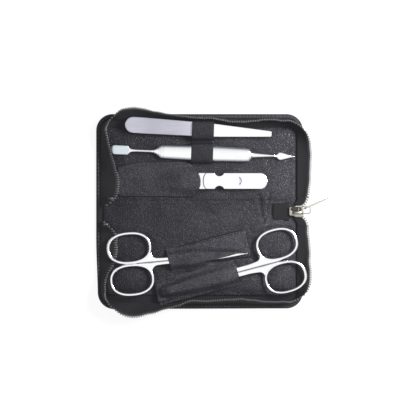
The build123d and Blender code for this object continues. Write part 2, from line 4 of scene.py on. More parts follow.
import bmesh
import bpy
import numpy as np
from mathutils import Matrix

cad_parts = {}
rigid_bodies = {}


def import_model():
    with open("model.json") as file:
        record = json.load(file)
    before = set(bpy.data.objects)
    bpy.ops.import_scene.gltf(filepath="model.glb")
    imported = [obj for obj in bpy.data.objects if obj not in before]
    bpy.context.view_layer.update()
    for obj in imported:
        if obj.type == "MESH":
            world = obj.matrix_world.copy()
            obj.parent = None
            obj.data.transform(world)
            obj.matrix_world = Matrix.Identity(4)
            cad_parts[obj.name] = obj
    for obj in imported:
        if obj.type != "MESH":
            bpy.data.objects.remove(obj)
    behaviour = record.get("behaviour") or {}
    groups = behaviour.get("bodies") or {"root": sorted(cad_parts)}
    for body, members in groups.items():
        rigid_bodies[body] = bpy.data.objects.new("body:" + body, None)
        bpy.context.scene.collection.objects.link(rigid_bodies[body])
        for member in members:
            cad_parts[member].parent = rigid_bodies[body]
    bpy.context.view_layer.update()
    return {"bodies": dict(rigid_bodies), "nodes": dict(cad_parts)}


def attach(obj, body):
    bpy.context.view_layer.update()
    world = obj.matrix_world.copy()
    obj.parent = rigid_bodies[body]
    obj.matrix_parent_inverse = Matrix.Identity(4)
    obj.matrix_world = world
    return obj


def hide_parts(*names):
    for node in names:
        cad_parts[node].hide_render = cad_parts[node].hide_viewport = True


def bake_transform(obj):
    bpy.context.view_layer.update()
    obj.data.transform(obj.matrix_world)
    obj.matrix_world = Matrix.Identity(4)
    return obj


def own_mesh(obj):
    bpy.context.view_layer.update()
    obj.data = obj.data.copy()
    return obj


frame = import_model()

# Zip-round manicure case lying open, with its tools. Lengths in this file are millimetres
# until makePiece turns them into metres. X runs along the spine, Y across it, Z up.

bodies, nodes = frame["bodies"], frame["nodes"]


# Quads of a grid of rows and columns; a wrapped direction joins its last line to its first.
def gridFaces(rows, columns, wrapRows=False, wrapColumns=False):
    a, b = np.meshgrid(np.arange(rows if wrapRows else rows - 1),
                       np.arange(columns if wrapColumns else columns - 1), indexing="ij")
    c, d = (a + 1) % rows, (b + 1) % columns
    quads = np.stack([a * columns + b, c * columns + b, c * columns + d, a * columns + d], axis=-1)
    return quads.reshape(-1, 4).tolist()


# A thin closed shell: an upper and a lower grid of the same size, joined by quads round the border.
def shellMesh(top, bottom):
    rows, columns = top.shape[:2]
    count = rows * columns
    index = np.arange(count).reshape(rows, columns)
    ring = np.concatenate([index[0, :-1], index[:-1, -1], index[-1, :0:-1], index[:0:-1, 0]])
    after = np.roll(ring, -1)
    faces = gridFaces(rows, columns) + [[q + count for q in f[::-1]] for f in gridFaces(rows, columns)]
    faces += np.stack([ring, after, after + count, ring + count], axis=-1).tolist()
    return np.concatenate([top.reshape(-1, 3), bottom.reshape(-1, 3)]), faces


# A body from rings of points, each joined to the next; open ends are closed by a fan to their middle.
def ringsMesh(rings, loop=False):
    rows, columns = rings.shape[:2]
    faces = gridFaces(rows, columns, wrapRows=loop, wrapColumns=True)
    points = rings.reshape(-1, 3)
    if not loop:
        k = np.arange(columns)
        following = (k + 1) % columns
        first, last = np.full(columns, len(points)), np.full(columns, len(points) + 1)
        faces += np.stack([first, following, k], axis=-1).tolist()
        faces += np.stack([last, k + (rows - 1) * columns, following + (rows - 1) * columns],
                          axis=-1).tolist()
        points = np.concatenate([points, rings[[0, -1]].mean(axis=1)])
    return points, faces


# Many copies of one small shape: each copy's point is origin + a*along + b*up + c*through.
def repeatedMesh(shape, shapeFaces, origin, along, up, through):
    points = (origin[:, None] + shape[None, :, :1] * along[:, None]
              + shape[None, :, 1:2] * up[:, None] + shape[None, :, 2:] * through[:, None])
    offsets = (np.arange(len(origin)) * len(shape)).tolist()
    faces = [[q + o for q in f] for o in offsets for f in shapeFaces]
    return points.reshape(-1, 3), faces


def joinMeshes(*parts):
    points, faces, start = [], [], 0
    for somePoints, someFaces in parts:
        points.append(somePoints)
        faces += [[q + start for q in f] for f in someFaces]
        start += len(somePoints)
    return np.concatenate(points), faces


# Turns points and faces into an object at the origin, with smooth faces that point outwards.
def makePiece(name, geometry, material, body=None, stands=(), uv=None, sharp=45):
    points, faces = geometry
    mesh = bpy.data.meshes.new(name)
    mesh.from_pydata((points * 0.001).tolist(), [], faces)
    if uv is not None:
        corner = np.empty(len(mesh.loops), np.int32)
        mesh.loops.foreach_get("vertex_index", corner)
        mesh.uv_layers.new(name="flat").data.foreach_set("uv",
                                                         (uv[corner] * 0.001).astype(np.float32).ravel())
    work = bmesh.new()
    work.from_mesh(mesh)
    bmesh.ops.remove_doubles(work, verts=work.verts, dist=1e-6)
    bmesh.ops.recalc_face_normals(work, faces=work.faces)
    work.to_mesh(mesh)
    work.free()
    mesh.polygons.foreach_set("use_smooth", np.ones(len(mesh.polygons), bool))
    mesh.set_sharp_from_angle(angle=math.radians(sharp))
    mesh.materials.append(material)
    piece = bpy.data.objects.new(name, mesh)
    bpy.context.scene.collection.objects.link(piece)
    if body:
        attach(piece, body)
    if stands:
        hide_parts(*stands)
    return piece


# Smooth curve through stations (place, value, value...): cubic pieces whose slope at a station is
# the slope between its neighbours.
def smoothRun(stations, at):
    table = np.array(stations, float)
    x, out = table[:, 0], []
    k = np.clip(np.searchsorted(x, at) - 1, 0, len(x) - 2)
    h = x[k + 1] - x[k]
    t = np.clip((at - x[k]) / h, 0, 1)
    for column in table[:, 1:].T:
        slope = np.gradient(column, x)
        out.append((2 * t**3 - 3 * t**2 + 1) * column[k] + (t**3 - 2 * t**2 + t) * h * slope[k]
                   + (3 * t**2 - 2 * t**3) * column[k + 1] + (t**3 - t**2) * h * slope[k + 1])
    return out


# Gentle unevenness: a sum of sine waves in random directions, seldom beyond 1.5 either way.
def softNoise(x, y, seed, wave, terms=9):
    rng = np.random.default_rng(seed)
    angle, phase = rng.uniform(0, 2 * math.pi, (2, terms))
    pitch = wave * rng.uniform(0.6, 1.7, terms)
    total = sum(np.sin((x * math.cos(a) + y * math.sin(a)) * 2 * math.pi / p + f)
                for a, f, p in zip(angle, phase, pitch))
    return total / math.sqrt(terms)


def turned(points, degrees, origin):
    c, s = math.cos(math.radians(degrees)), math.sin(math.radians(degrees))
    x, y, z = np.moveaxis(points, -1, 0)
    return np.stack([origin[0] + x * c - y * s, origin[1] + x * s + y * c, origin[2] + z], axis=-1)


def smoothStep(value, low, high):
    t = np.clip((value - low) / (high - low), 0, 1)
    return t * t * (3 - 2 * t)


def addNode(tree, kind, values=None, **settings):
    made = tree.nodes.new(kind)
    for key, value in settings.items():
        setattr(made, key, value)
    for key, value in (values or {}).items():
        if isinstance(value, bpy.types.NodeSocket):
            tree.links.new(value, made.inputs[key])
        else:
            made.inputs[key].default_value = value
    return made


def mixColour(tree, first, second, share):
    return addNode(tree, "ShaderNodeMix", {6: first, 7: second, 0: share}, data_type="RGBA").outputs[2]


def addBump(tree, shader, height, distance, strength):
    bump = addNode(tree, "ShaderNodeBump", {"Height": height, "Distance": distance, "Strength": strength})
    tree.links.new(bump.outputs[0], shader.inputs["Normal"])


def newGroup(name, inputs, outputs):
    group = bpy.data.node_groups.new(name, "ShaderNodeTree")
    for label, kind, value in inputs:
        socket = group.interface.new_socket(name=label, in_out="INPUT", socket_type=kind)
        if value is not None:
            socket.default_value = value
    for label, kind in outputs:
        group.interface.new_socket(name=label, in_out="OUTPUT", socket_type=kind)
    return group, group.nodes.new("NodeGroupInput"), group.nodes.new("NodeGroupOutput")


def math2(tree, operation, a, b=0.0, clamp=False):
    return addNode(tree, "ShaderNodeMath", {0: a, 1: b}, operation=operation, use_clamp=clamp).outputs[0]


# Pebbled leather: every pebble is a dome over bent, slanting cells, t = wall distance / 0.42 and
# height = t*(2 - t) * (0.8 + 0.2*cell value) + fine noise. The valley is 1 at a wall and fades to 0
# at the distance 0.2.
def buildGrain():
    group, given, result = newGroup("pebbleGrain", [
        ("Vector", "NodeSocketVector", None), ("Pebble Scale", "NodeSocketFloat", 800.0),
        ("Bend", "NodeSocketFloat", 0.0007)],
        [("Height", "NodeSocketFloat"), ("Valley", "NodeSocketFloat"), ("Cloud", "NodeSocketFloat")])
    slant = addNode(group, "ShaderNodeMapping",
                    {"Vector": given.outputs["Vector"], "Rotation": (0.0, 0.0, 1.0),
                                                 "Scale": (1.0, 0.62, 1.0)}, vector_type="TEXTURE")
    vector = slant.outputs[0]
    wobble = addNode(group, "ShaderNodeTexNoise", {"Vector": vector, "Scale": 380.0, "Detail": 2.0})
    shift = addNode(group, "ShaderNodeVectorMath", {0: wobble.outputs["Color"], 1: (0.5, 0.5, 0.5)},
                    operation="SUBTRACT")
    pushed = addNode(group, "ShaderNodeVectorMath", {0: shift.outputs[0], "Scale": given.outputs["Bend"]},
                     operation="SCALE")
    place = addNode(group, "ShaderNodeVectorMath", {0: vector, 1: pushed.outputs[0]}, operation="ADD")
    cellInputs = {"Vector": place.outputs[0], "Scale": given.outputs["Pebble Scale"], "Randomness": 0.75}
    walls = addNode(group, "ShaderNodeTexVoronoi", cellInputs, feature="DISTANCE_TO_EDGE")
    cells = addNode(group, "ShaderNodeTexVoronoi", cellInputs)
    fine = addNode(group, "ShaderNodeTexNoise", {"Vector": vector, "Scale": 2600.0, "Detail": 3.0})
    cloud = addNode(group, "ShaderNodeTexNoise",
                    {"Vector": given.outputs["Vector"], "Scale": 60.0, "Detail": 3.0})
    t = addNode(group, "ShaderNodeMapRange",
                {"Value": walls.outputs["Distance"], "From Max": 0.42}).outputs[0]
    dome = math2(group, "MULTIPLY", t, math2(group, "SUBTRACT", 2.0, t))
    tone = addNode(group, "ShaderNodeSeparateColor", {"Color": cells.outputs["Color"]}).outputs[0]
    level = addNode(group, "ShaderNodeMapRange", {"Value": tone, "To Min": 0.8, "To Max": 1.0}).outputs[0]
    height = math2(group, "ADD", math2(group, "MULTIPLY", dome, level),
                   math2(group, "MULTIPLY", fine.outputs["Fac"], 0.12))
    valley = addNode(group, "ShaderNodeMapRange", {"Value": walls.outputs["Distance"], "From Max": 0.2,
                                                   "To Min": 1.0, "To Max": 0.0}, interpolation_type="SMOOTHSTEP")
    group.links.new(height, result.inputs["Height"])
    group.links.new(valley.outputs[0], result.inputs["Valley"])
    group.links.new(cloud.outputs["Fac"], result.inputs["Cloud"])
    return group


grainGroup = buildGrain()


# Fine parallel scratches from brushing: noise stretched along X.
def buildBrushed():
    group, given, result = newGroup("brushedLines", [
        ("Vector", "NodeSocketVector", None), ("Line Scale", "NodeSocketFloat", 1.0)],
        [("Height", "NodeSocketFloat"), ("Streak", "NodeSocketFloat")])
    stretched = addNode(group, "ShaderNodeVectorMath", {0: given.outputs["Vector"], 1: (60.0, 4200.0, 900.0)},
                        operation="MULTIPLY")
    lines = addNode(group, "ShaderNodeTexNoise",
                    {"Vector": stretched.outputs[0], "Scale": given.outputs["Line Scale"],
                                                  "Detail": 4.0})
    group.links.new(lines.outputs["Fac"], result.inputs["Height"])
    streak = addNode(group, "ShaderNodeMapRange",
                     {"Value": lines.outputs["Fac"], "From Min": 0.3, "From Max": 0.7})
    group.links.new(streak.outputs[0], result.inputs["Streak"])
    return group


brushedGroup = buildBrushed()


def startMaterial(name, **shaderValues):
    material = bpy.data.materials.new(name)
    material.use_nodes = True
    shader = material.node_tree.nodes["Principled BSDF"]
    for key, value in shaderValues.items():
        shader.inputs[key].default_value = value
    return material, material.node_tree, shader


# A weak even glow is painted light that lifts the darkest leather and cloth.
# The leather's colour and shine are darker at the case's left end than at its right: painted shade, as if lit
# from the right.
# Colour goes from the valley colour to the pebble colour, with slow clouds of lighter colour; the shine is tinted
# a little blue. The darker valleys and lighter pebble tops are partly the grain's own tone and partly painted
# shade in the creases.
def leatherMaterial(name, dark, light, pebbleScale=800.0, depth=0.00022, roughness=(0.34, 0.6), shine=0.34):
    material, tree, shader = startMaterial(name, **{"Specular IOR Level": shine, "Emission Strength": 0.012,
                                                    "Emission Color": (1.0, 1.0, 1.12, 1.0),
                                                    "Specular Tint": (0.88, 0.87, 1.0, 1.0)})
    grain = addNode(tree, "ShaderNodeGroup", node_tree=grainGroup)
    tree.links.new(addNode(tree, "ShaderNodeTexCoord").outputs["UV"], grain.inputs["Vector"])
    grain.inputs["Pebble Scale"].default_value = pebbleScale
    # Pebble tops lighter, valleys darker: partly grain tone, partly painted shade.
    colour = mixColour(tree, dark, light, grain.outputs["Height"])
    cloudy = addNode(tree, "ShaderNodeMapRange",
                     {"Value": grain.outputs["Cloud"], "From Min": 0.35, "From Max": 0.7,
                                                  "To Min": 0.65, "To Max": 1.3})
    x = addNode(tree, "ShaderNodeSeparateXYZ",
                {0: addNode(tree, "ShaderNodeTexCoord").outputs["Object"]}).outputs[0]
    # Painted shade: colour and shine ramp from 0.6 at the left end to 1.12 at the right.
    across = addNode(tree, "ShaderNodeMapRange", {"Value": x, "From Min": -0.065, "From Max": 0.06,
                                                  "To Min": 0.6, "To Max": 1.12}).outputs[0]
    amount = math2(tree, "MULTIPLY", cloudy.outputs[0], across)
    tint = addNode(tree, "ShaderNodeVectorMath", {0: colour, "Scale": amount}, operation="SCALE")
    tree.links.new(tint.outputs[0], shader.inputs["Base Color"])
    tree.links.new(math2(tree, "MULTIPLY", across, shine), shader.inputs["Specular IOR Level"])
    gloss = addNode(tree, "ShaderNodeMapRange", {"Value": grain.outputs["Valley"], "To Min": roughness[0],
                                                 "To Max": roughness[1]})
    tree.links.new(gloss.outputs[0], shader.inputs["Roughness"])
    addBump(tree, shader, grain.outputs["Height"], depth, 1.0)
    return material


# Woven tape: two crossed sine waves on the piece's flat coordinates, along and across.
def tapeMaterial():
    # The tape's weak even glow is painted light that lifts its black.
    material, tree, shader = startMaterial("wovenTape",
                                           **{"Specular IOR Level": 0.05, "Emission Strength": 0.014,
                                                           "Emission Color": (1.0, 1.0, 1.08, 1.0)})
    uv = addNode(tree, "ShaderNodeTexCoord").outputs["UV"]
    split = addNode(tree, "ShaderNodeSeparateXYZ", {0: uv})
    along = math2(tree, "SINE", math2(tree, "MULTIPLY", split.outputs[0], 9000.0))
    slanted = math2(tree, "ADD", math2(tree, "MULTIPLY", split.outputs[1], 7000.0),
                    math2(tree, "MULTIPLY", split.outputs[0], 4500.0))
    weave = math2(tree, "MULTIPLY", along, math2(tree, "SINE", slanted))
    fuzz = addNode(tree, "ShaderNodeTexNoise", {"Vector": uv, "Scale": 900.0, "Detail": 3.0})
    lift = math2(tree, "ADD", weave, fuzz.outputs["Fac"])
    colour = mixColour(tree, (0.006, 0.006, 0.007, 1), (0.014, 0.014, 0.015, 1), lift)
    tree.links.new(colour, shader.inputs["Base Color"])
    rough = addNode(tree, "ShaderNodeMapRange", {"Value": fuzz.outputs["Fac"], "To Min": 0.7, "To Max": 0.95})
    tree.links.new(rough.outputs[0], shader.inputs["Roughness"])
    addBump(tree, shader, lift, 0.00009, 0.8)
    return material


# Metal: the colour and roughness waver slowly; brushed metal has streaks along X as well.
def metalMaterial(name, colour, shade, roughness, spread, brushed=0.0, smear=90.0, metallic=1.0):
    material, tree, shader = startMaterial(name, Metallic=metallic)
    place = addNode(tree, "ShaderNodeTexCoord").outputs["Object"]
    smears = addNode(tree, "ShaderNodeTexNoise", {"Vector": place, "Scale": smear, "Detail": 3.0})
    lines = addNode(tree, "ShaderNodeGroup", node_tree=brushedGroup)
    tree.links.new(place, lines.inputs["Vector"])
    amount = math2(tree, "ADD", math2(tree, "MULTIPLY", smears.outputs["Fac"], 1.0 - brushed),
                   math2(tree, "MULTIPLY", lines.outputs["Streak"], brushed), clamp=True)
    tree.links.new(mixColour(tree, colour, shade, amount), shader.inputs["Base Color"])
    rough = addNode(tree, "ShaderNodeMapRange",
                    {"Value": amount, "To Min": roughness, "To Max": roughness + spread})
    tree.links.new(rough.outputs[0], shader.inputs["Roughness"])
    addBump(tree, shader, lines.outputs["Height"], 0.00002, 0.05 + 0.5 * brushed)
    return material


# Twisted thread: slanted ribs from a sine wave on object coordinates.
def threadMaterial():
    material, tree, shader = startMaterial("waxedThread", Roughness=0.5)
    place = addNode(tree, "ShaderNodeTexCoord").outputs["Object"]
    split = addNode(tree, "ShaderNodeSeparateXYZ", {0: place})
    ribs = math2(tree, "SINE", math2(tree, "MULTIPLY", math2(tree, "ADD", split.outputs[0], split.outputs[1]),
                                     22000.0))
    colour = mixColour(tree, (0.03, 0.03, 0.034, 1), (0.11, 0.108, 0.12, 1), ribs)
    tree.links.new(colour, shader.inputs["Base Color"])
    addBump(tree, shader, ribs, 0.00005, 0.6)
    return material


outerLeather = leatherMaterial("outerLeather", (0.004, 0.004, 0.005, 1), (0.018, 0.018, 0.020, 1), 760.0,
                               0.00014,
                               roughness=(0.5, 0.6), shine=0.22)
liningLeather = leatherMaterial("liningLeather", (0.001, 0.001, 0.001, 1), (0.030, 0.029, 0.034, 1), 640.0,
                                0.00034,
                                roughness=(0.44, 0.6), shine=0.30)
holderLeather = leatherMaterial("holderLeather", (0.001, 0.001, 0.001, 1), (0.038, 0.037, 0.044, 1), 700.0,
                                0.00030,
                                roughness=(0.44, 0.6), shine=0.42)
# The strap's leather is a darker copy of the holder leather: painted shade.
strapShadedLeather = leatherMaterial("strapShadedLeather", (0.001, 0.001, 0.001, 1), (0.018, 0.0175, 0.021, 1), 700.0,
                               0.00022,
                               roughness=(0.5, 0.6), shine=0.22)
# Dark leather for the stitches, and for the cords that paint shadow lines along the holders' edges.
stitchAndShadowDark = leatherMaterial("stitchAndShadowDark", (0.002, 0.002, 0.002, 1), (0.005, 0.005, 0.006, 1), 900.0, 0.00010,
                           shine=0.1)
wovenTape = tapeMaterial()
waxedThread = threadMaterial()
polishedSteel = metalMaterial("polishedSteel", (0.96, 0.96, 0.965, 1), (0.90, 0.905, 0.92, 1), 0.07, 0.08)
darkTeeth = metalMaterial("darkTeeth", (0.085, 0.085, 0.09, 1), (0.045, 0.045, 0.05, 1), 0.45, 0.2,
                          smear=700.0, metallic=0.0)
satinSteel = metalMaterial("satinSteel", (0.61, 0.675, 0.71, 1), (0.54, 0.60, 0.635, 1), 0.28, 0.1,
                           brushed=0.3)
toothThreads = metalMaterial("toothThreads", (0.07, 0.07, 0.075, 1), (0.04, 0.04, 0.045, 1), 0.6, 0.2,
                             smear=700.0, metallic=0.0)
shadedSteel = metalMaterial("shadedSteel", (0.36, 0.36, 0.44, 1), (0.22, 0.22, 0.28, 1), 0.3, 0.2,
                            smear=400.0)
# Dark steel for the slider's painted shadow oval.
sliderShadowDark = metalMaterial("sliderShadowDark", (0.06, 0.06, 0.06, 1), (0.03, 0.03, 0.03, 1), 0.22, 0.2, smear=400.0)
zipNickel = metalMaterial("zipNickel", (0.30, 0.285, 0.245, 1), (0.20, 0.19, 0.165, 1), 0.32, 0.12,
                          smear=300.0)
print("materials made")


caseShape = {"halfLength": 72.1, "edgeY": 67.9, "corner": 11.5, "roll": 1.35, "hemWidth": 3.1, "hemFall": 0.7,
             "sheet": 1.2, "foldFrom": 6.2, "foldTo": 8.6, "foldZ": 2.0, "narrowing": (0.016, 18, 62),
             "skew": 0.00006, "waver": 0.12, "bareBelow": 1.9}
edgeSteps = np.array([0, 0.04, 0.12, 0.25, 0.45, 0.7, 1.0, 1.35, 1.8, 2.3, 2.7, 3.0, 3.3, 3.7, 4.4, 5.4, 6.6,
                      8.0])


# Grid over one half of the case from above: rows from the spine's middle to the far edge, each row
# from left to right between the sides of a rectangle with two round corners. Gives x, y and the
# distance in from the outline.
def halfGrid(inset, farInset, corner, rowStep, columnStep):
    halfX, farY = caseShape["halfLength"] - inset, caseShape["edgeY"] - farInset
    y = np.concatenate([np.arange(0, farY - edgeSteps[-1] - rowStep / 2, rowStep), farY - edgeSteps[::-1]])
    cut = np.clip(y - (farY - corner), 0, corner)
    reach = (halfX - corner + np.sqrt(corner**2 - cut**2))[:, None]
    inner = np.linspace(-1, 1, int(2 * halfX / columnStep))[None, 1:-1]
    x = np.concatenate([-reach + edgeSteps, inner * (reach - edgeSteps[-1]), reach - edgeSteps[::-1]], axis=1)
    y = np.broadcast_to(y[:, None], x.shape)
    overX, overY = np.abs(x) - (halfX - corner), y - (farY - corner)
    outside = np.hypot(np.clip(overX, 0, None), np.clip(overY, 0, None))
    d = corner - outside - np.clip(np.maximum(overX, overY), None, 0)
    return x, y, np.clip(d, 0, None)


# Full round of radius r at the border: height above and below r is sqrt(r*r - (r - d)*(r - d)).
def roundEdge(d, r):
    return np.sqrt(np.clip(r**2 - (r - np.minimum(d, r))**2, 0, None))


def flatPoints(x, y, z, side):
    return np.stack([x, y * side, z], axis=-1)


# Flat coordinates of a shell whose upper and lower grid lie over each other.
def planUv(x, y):
    return np.concatenate([np.stack([x, y], -1).reshape(-1, 2)] * 2)


# Bakes the piece's placement into its mesh.
def blendOverFold(piece):
    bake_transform(piece)


# The lower half is a little narrower at its far left corner, and skewed. The cloth inside the hem is
# bare where the lining stops short of it.
def coverLeather(name, side, body):
    x, y, d = halfGrid(0, 0, caseShape["corner"], 1.3, 2.2)
    if side < 0:
        narrowing, narrowFrom, narrowTo = caseShape["narrowing"]
        x, y = (np.where(x < 0, x * (1 - narrowing * smoothStep(y, narrowFrom, narrowTo)), x),
                y * (1 - caseShape["skew"] * x))
    roll = caseShape["roll"]
    top = roll + roundEdge(d, roll) + caseShape["waver"] * softNoise(x, y * side, 3, 9) * smoothStep(d, 0, 1)
    inside = smoothStep(d, caseShape["hemWidth"], caseShape["hemWidth"] + caseShape["hemFall"])
    top = top + (caseShape["sheet"] - top) * inside
    bottom = roll - roundEdge(d, roll)
    geometry = shellMesh(flatPoints(x, y, top, side), flatPoints(x, y, bottom, side))
    piece = makePiece(name, geometry, outerLeather, uv=planUv(x, y * side), sharp=60,
                      stands=[f"{body[:5]}_cover_leather", "spine_leather"])
    piece.data.materials.append(wovenTape)
    for face in piece.data.polygons:
        face.material_index = int(face.normal.z > 0.5 and face.center.z * 1000 < caseShape["bareBelow"])
    blendOverFold(piece)


coverLeather("upperOuterLeather", 1, "upper_case")
coverLeather("lowerOuterLeather", -1, "lower_case")
print("outer leather made")


liningShape = {"inset": 5.0, "farInset": 9.2, "corner": 6.0, "foot": 1.6, "edge": 2.3, "top": 4.75,
               "slope": 10.5, "spineTop": 3.25,
               "crease": 0.45, "creaseAt": 7.4, "wrinkle": 0.24, "leftSlope": 6.0, "spineHalf": 6.6,
               "tabDip": 0.9,
               "tabHalf": 7.0, "tabFrom": 56, "tabTo": 61}
# Soft rises of the padding: x, y, radius along x, radius along y, height.
paddingRises = [(52.0, 46.0, 13.0, 10.0, 0.7), (-30.0, -14.5, 24.0, 4.0, 0.7), (22.0, -61.0, 26.0, 3.0, 0.5),
                (55.0, 16.0, 8.0, 9.0, 0.9), (40.0, -11.5, 10.0, 3.5, 0.9), (36.0, 12.5, 14.0, 4.0, 0.7),
                (-40.0, 4.0, 16.0, 3.0, 0.4), (38.0, -56.0, 7.0, 5.0, 0.8)]
# Where a finger ring rests: middle x and y, turn, half length, half width, rise inside, dip under it.
ringRests = [(-48.8, -25.5, 5.2, 15.4, 11.2, 1.5, 0.5), (-46.8, -47.6, 5.2, 15.4, 11.2, 1.8, 0.5),
             (53.5, -22.3, 15.4, 14.8, 11.3, 2.3, 1.0), (60.0, -45.4, 15.4, 14.8, 11.3, 2.3, 1.0)]
# Folds in the lining: from x and y to x and y, width, depth.
liningFolds = [(41.0, 11.0, 44.0, -6.5, 1.5, 0.9), (48.5, 13.0, 47.5, 8.0, 1.2, 0.7),
               (46.0, 40.0, 49.0, 30.0, 1.8, 0.4),
               (37.0, -20.0, 37.5, -35.0, 1.6, 0.9), (-20.0, 3.0, 12.0, -3.0, 2.5, 0.25)]


# Dome inside a ring and dip under it, for r = (|u/a|^2.3 + |v/b|^2.3)^(1/2.3).
def ringRest(x, y, rest):
    cx, cy, turn, a, b, dome, dip = rest
    c, s = math.cos(math.radians(turn)), math.sin(math.radians(turn))
    u, v = (x - cx) * c + (y - cy) * s, (y - cy) * c - (x - cx) * s
    r = ((np.abs(u) / a)**2.3 + (np.abs(v) / b)**2.3)**(1 / 2.3)
    return dome * np.clip(1 - (r / 0.86)**2, 0, 1)**1.3 - dip * np.exp(-((r - 0.98) / 0.13)**2)


def foldDip(x, y, fold):
    x0, y0, x1, y1, width, depth = fold
    dx, dy = x1 - x0, y1 - y0
    share = np.clip(((x - x0) * dx + (y - y0) * dy) / (dx**2 + dy**2), 0, 1)
    away = np.hypot(x - x0 - share * dx, y - y0 - share * dy)
    return -depth * np.exp(-(away / width)**2) + 0.35 * depth * np.exp(-((away - 1.9 * width) / width)**2)


# Lining height: a round edge, a long rise to the flat, lower over the spine and under the end tab, a
# dip at the crease, soft rises between the tools, domes inside the rings, folds and slow wrinkles.
def liningHeight(x, y, d):
    s = liningShape
    away = np.abs(y)
    height = s["foot"] + (s["edge"] - s["foot"]) * roundEdge(d, 1.0)
    slope = s["slope"] + s["leftSlope"] * smoothStep(-x, 0, 50)
    height = height + (s["top"] - s["edge"]) * np.sin(np.clip(d / slope, 0, 1) * math.pi / 2)
    spineShare = np.exp(-(away / s["spineHalf"])**4)
    height = height - spineShare * (s["top"] - s["spineTop"]) * smoothStep(d, 0, 9)
    height = height - s["crease"] * np.exp(-(away - s["creaseAt"])**2) * smoothStep(d, 1, 8)
    height = height - s["tabDip"] * np.exp(-(y / s["tabHalf"])**4) * smoothStep(x, s["tabFrom"], s["tabTo"])
    for cx, cy, rx, ry, rise in paddingRises:
        height = height + rise * np.exp(-((x - cx) / rx)**2 - ((y - cy) / ry)**2)
    height = height + sum(ringRest(x, y, rest) for rest in ringRests) + sum(foldDip(x, y,
                                                                                    f) for f in liningFolds)
    wrinkles = softNoise(x, y, 11, 22) * s["wrinkle"] + softNoise(x, y, 12, 7) * s["wrinkle"] * 0.4
    wrinkles = wrinkles + 0.28 * softNoise(x * 1.6, y * 0.5, 13, 6) * np.exp(-((x - 45) / 7)**2 - (y / 9)**2)
    return height + wrinkles * smoothStep(d, 0.5, 5)


def coverLining(name, side, body):
    s = liningShape
    x, y, d = halfGrid(s["inset"], s["farInset"], s["corner"], 0.7, 0.9)
    top = liningHeight(x, y * side, d)
    bottom = 1.3 + 0.3 * (1 - smoothStep(d, 0, 1))
    geometry = shellMesh(flatPoints(x, y, top, side), flatPoints(x, y, bottom, side))
    half = body[:5]
    piece = makePiece(name, geometry, liningLeather, uv=planUv(x, y * side), sharp=60,
                      stands=[f"{half}_lining", f"{half}_foam_pad", f"{half}_board", "spine_lining",
                              "spine_padding"])
    blendOverFold(piece)


coverLining("upperPaddedLining", 1, "upper_case")
coverLining("lowerPaddedLining", -1, "lower_case")
print("padded lining made")


# A sine or cosine bent towards a square wave, for rounded boxes and ovals.
def squared(wave, power):
    return np.sign(wave) * np.abs(wave)**power


# Distance along a path of points, at each of them.
def pathRun(path):
    return np.concatenate([[0], np.cumsum(np.linalg.norm(np.diff(path, axis=0), axis=1))])


# Rings of a bar along X: each ring is a rounded box |y/w|^n + |z/h|^n = 1 about the bar's middle.
def barRings(u, halfWidth, halfThick, power, middleY=0.0, middleZ=0.0, around=40):
    a = np.linspace(0, 2 * math.pi, around, endpoint=False)[None, :]
    power = np.broadcast_to(power, u.shape)[:, None]
    y = squared(np.cos(a), 2 / power) * halfWidth[:, None]
    z = squared(np.sin(a), 2 / power) * np.broadcast_to(halfThick, u.shape)[:, None]
    x = np.broadcast_to(u[:, None], y.shape)
    return np.stack([x, y + np.reshape(middleY, (-1, 1)), z + np.reshape(middleZ, (-1, 1))], -1)


zipShape = {"sewnX": 68.4, "sewnFar": 64.0, "sewnCorner": 8.0, "sewnNear": 9.7, "footZ": 3.3, "tuck": 1.3,
            "thick": 0.55, "bow": 0.9, "ripple": 0.25, "pitch": 1.6, "toothGap": 0.1, "standing": 11.5}
# Where the toothed edge stands: distance along the sewn line, lean outward, height.
upperRun = [(-6, -1.6, 1.5), (-4, -5.0, 4.5), (-2, -7.8, 6.3), (0.2, -9.8, 5.6), (6.6, -11.1, 3.4),
            (14.6, -10.8, 4.0), (22.6, -8.8, 6.5), (31.6, -6.2, 9.0), (38, -5.0, 10.0), (45.5, -4.1, 10.6),
            (51, -3.2, 11.0), (55.2, -1.9, 11.2), (59.9, 1.9, 11.1), (65.2, 5.9, 9.7), (70, 7.1, 8.8),
            (74.3, 7.4, 8.6),
            (79, 6.8, 9.1), (84, 5.8, 9.8), (91.8, 4.2, 10.5), (98.8, 2.7, 11.0), (107.8, 1.5, 11.2),
            (118.5, 0.6, 11.3),
            (130, -0.1, 11.3), (142.7, -1.7, 11.2), (152, -2.0, 11.1), (160, -1.1, 11.2), (168.7, -0.5, 11.3),
            (177.3, -1.3, 11.2), (183.7, -1.0, 11.2), (189.7, 1.4, 11.0), (193.3, 5.0, 8.8),
            (199.5, 7.6, 5.0),
            (205.3, 8.3, 2.6), (212, 8.5, 1.3), (222, 8.1, 1.3), (235, 6.9, 1.3), (239, 5.8, 1.3)]
lowerRun = [(-3, -1.2, 3.0), (0, -4.4, 9.0), (2.2, -6.8, 5.4), (5.8, -9.2, 2.4), (11.7, -9.9, 1.9),
            (21, -9.7, 1.8), (26.6, -7.9, 2.2), (33, -4.9, 6.0), (40, -3.0, 10.0), (46, -2.7, 10.9),
            (51, -2.1, 11.1),
            (55, -0.9, 11.2), (59.9, 3.2, 10.9), (64, 6.3, 9.4), (69, 7.9, 8.2), (73.2, 8.5, 7.6),
            (78, 7.8, 8.3),
            (84, 6.6, 9.2), (93, 4.2, 10.5), (97.2, 2.9, 10.9), (105, 0.9, 11.2), (110.5, -1.3, 11.2),
            (129.7, -2.1, 11.1), (142.7, -3.2, 10.8), (160, -2.3, 11.0), (171, -1.2, 11.2), (180, -1.2, 11.3),
            (186.6, 0.0, 11.3), (189.8, 2.4, 11.0), (192.2, 5.4, 8.8), (195.5, 7.1, 6.0), (199, 7.8, 3.0),
            (203, 8.0, 1.6), (216, 7.8, 1.3), (229, 7.2, 1.3), (239, 5.9, 1.3)]


